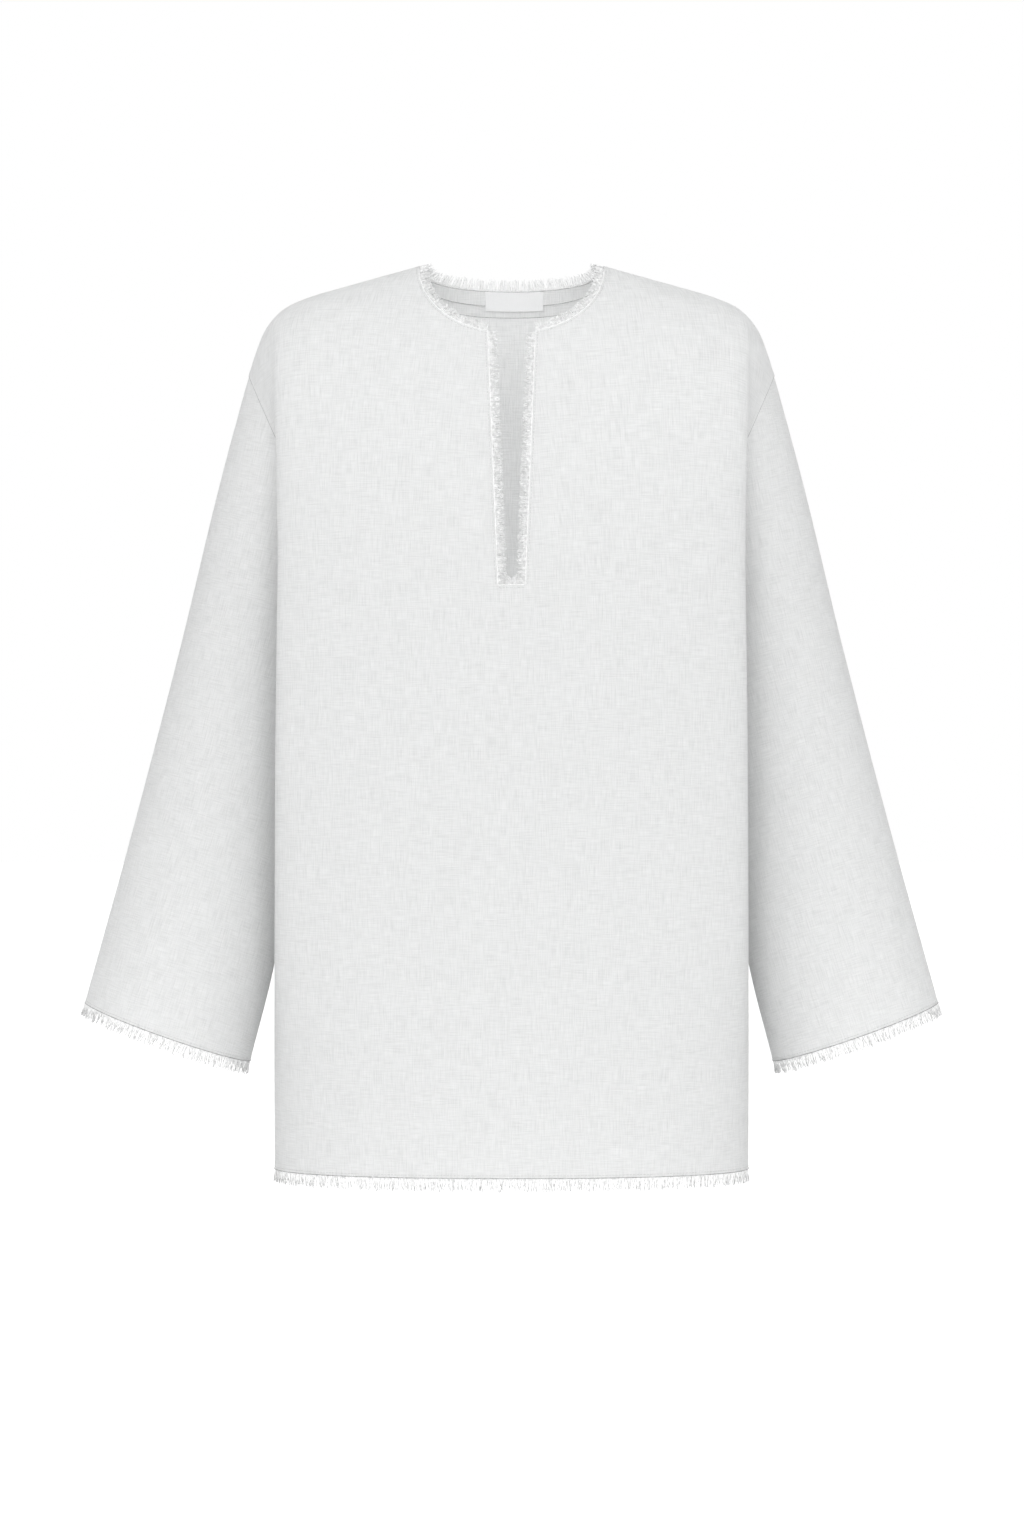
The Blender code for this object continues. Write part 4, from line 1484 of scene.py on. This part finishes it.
def add_area_light(light, power):
    data = bpy.data.lights.new(light.name, "AREA")
    data.shape = "SQUARE"
    data.size = light.size
    data.energy = power * light.share
    lamp = bpy.data.objects.new(light.name, data)
    lamp.location = light.place
    way = Vector(light.target) - Vector(light.place)
    lamp.rotation_mode = "QUATERNION"
    lamp.rotation_quaternion = way.to_track_quat("-Z", "Y")
    bpy.context.scene.collection.objects.link(lamp)


def add_sky(ambient, overhead):
    """Soft light that changes with height, behind a white that the camera sees."""
    world = bpy.data.worlds.new("studio")
    bpy.context.scene.world = world
    world.use_nodes = True
    tree = world.node_tree
    back = tree.nodes["Background"]
    back.inputs[0].default_value = (1.0, 1.0, 1.0, 1.0)
    seen = new_node(tree, "ShaderNodeLightPath").outputs["Is Camera Ray"]
    way = new_node(tree, "ShaderNodeTexCoord").outputs["Generated"]
    upwards = new_node(tree, "ShaderNodeSeparateXYZ", {0: way}).outputs[2]
    heights = {"Value": upwards, "To Min": ambient, "To Max": overhead}
    light = new_node(tree, "ShaderNodeMapRange", heights).outputs[0]
    shares = {"Value": seen, "To Min": light, "To Max": 1.0}
    strength = new_node(tree, "ShaderNodeMapRange", shares)
    tree.links.new(strength.outputs[0], back.inputs[1])


def add_floor(height):
    bpy.ops.mesh.primitive_circle_add(
        vertices=FLOOR_SIDES, radius=FLOOR_RADIUS, fill_type="NGON", location=(0.0, 0.0, height)
    )
    floor = bpy.context.active_object
    floor.name = "floor"
    bpy.ops.object.transform_apply(location=True, rotation=True, scale=True)
    pale = bpy.data.materials.new("pale_floor")
    pale.use_nodes = True
    tree = pale.node_tree
    shader = tree.nodes["Principled BSDF"]
    shader.inputs["Base Color"].default_value = (FLOOR_SHADE, FLOOR_SHADE, FLOOR_SHADE, 1.0)
    shader.inputs["Roughness"].default_value = FLOOR_ROUGHNESS
    shader.inputs["Emission Color"].default_value = (1.0, 1.0, 1.0, 1.0)
    seen = new_node(tree, "ShaderNodeLightPath").outputs["Is Camera Ray"]
    glow = maths(tree, "MULTIPLY", seen, FLOOR_GLOW)
    tree.links.new(glow, shader.inputs["Emission Strength"])
    floor.data.materials.append(pale)


class SHIRT_OT_stage(bpy.types.Operator):
    """Make the pale floor, the soft light and the camera"""

    bl_idname = "shirt.stage"
    bl_label = "Stage"

    def execute(self, context):
        settings = context.scene.shirt_studio
        scene = context.scene
        scene.view_settings.view_transform = "Standard"
        add_sky(settings.ambient, settings.overhead)
        add_floor(settings.floor)
        add_area_light(KEY, settings.key)
        add_area_light(FILL, settings.key)
        data = bpy.data.cameras.new("camera")
        data.lens = SENSOR * settings.distance / (settings.image_height * settings.pixel)
        data.clip_end = FAR
        camera = bpy.data.objects.new("camera", data)
        camera.location = (CAMERA_X, -settings.distance, CAMERA_Z)
        camera.rotation_euler = (math.pi / 2, 0.0, 0.0)
        scene.collection.objects.link(camera)
        scene.camera = camera
        return {"FINISHED"}


class SHIRT_PT_panel(bpy.types.Panel):
    """The steps that make the shirt"""

    bl_label = "Linen shirt"
    bl_idname = "SHIRT_PT_panel"
    bl_space_type = "VIEW_3D"
    bl_region_type = "UI"
    bl_category = "Shirt"

    def draw(self, context):
        for operator in OPERATORS:
            self.layout.operator(operator.bl_idname)
        for name in SETTINGS:
            group = getattr(context.scene, name)
            box = self.layout.box()
            for key in group.__annotations__:
                box.prop(group, key)


OPERATORS = (
    SHIRT_OT_sewing,
    SHIRT_OT_hem_fringe,
    SHIRT_OT_cuff_fringe,
    SHIRT_OT_neck_fringe,
    SHIRT_OT_slit_fringe,
    SHIRT_OT_front,
    SHIRT_OT_back,
    SHIRT_OT_sleeves,
    SHIRT_OT_neck_tape,
    SHIRT_OT_neck_facing,
    SHIRT_OT_label,
    SHIRT_OT_stage,
)
SETTINGS = {
    "shirt_cloth": ShirtCloth,
    "shirt_sewing": ShirtSewing,
    "shirt_fringe": ShirtFringe,
    "shirt_studio": ShirtStudio,
}


def register():
    for kind in (*SETTINGS.values(), *OPERATORS, SHIRT_PT_panel):
        bpy.utils.register_class(kind)
    for name, kind in SETTINGS.items():
        setattr(bpy.types.Scene, name, PointerProperty(type=kind))


def unregister():
    for name in SETTINGS:
        delattr(bpy.types.Scene, name)
    for kind in reversed((*SETTINGS.values(), *OPERATORS, SHIRT_PT_panel)):
        bpy.utils.unregister_class(kind)


def main():
    register()
    bpy.ops.object.select_all(action="DESELECT")
    bpy.ops.shirt.sewing()
    bpy.ops.shirt.hem_fringe()
    bpy.ops.shirt.cuff_fringe()
    bpy.ops.shirt.neck_fringe()
    bpy.ops.shirt.slit_fringe()
    bpy.ops.shirt.front()
    bpy.ops.shirt.back()
    bpy.ops.shirt.sleeves()
    bpy.ops.shirt.neck_tape()
    bpy.ops.shirt.neck_facing()
    bpy.ops.shirt.label()
    bpy.ops.shirt.stage()


if __name__ == "__main__":
    main()
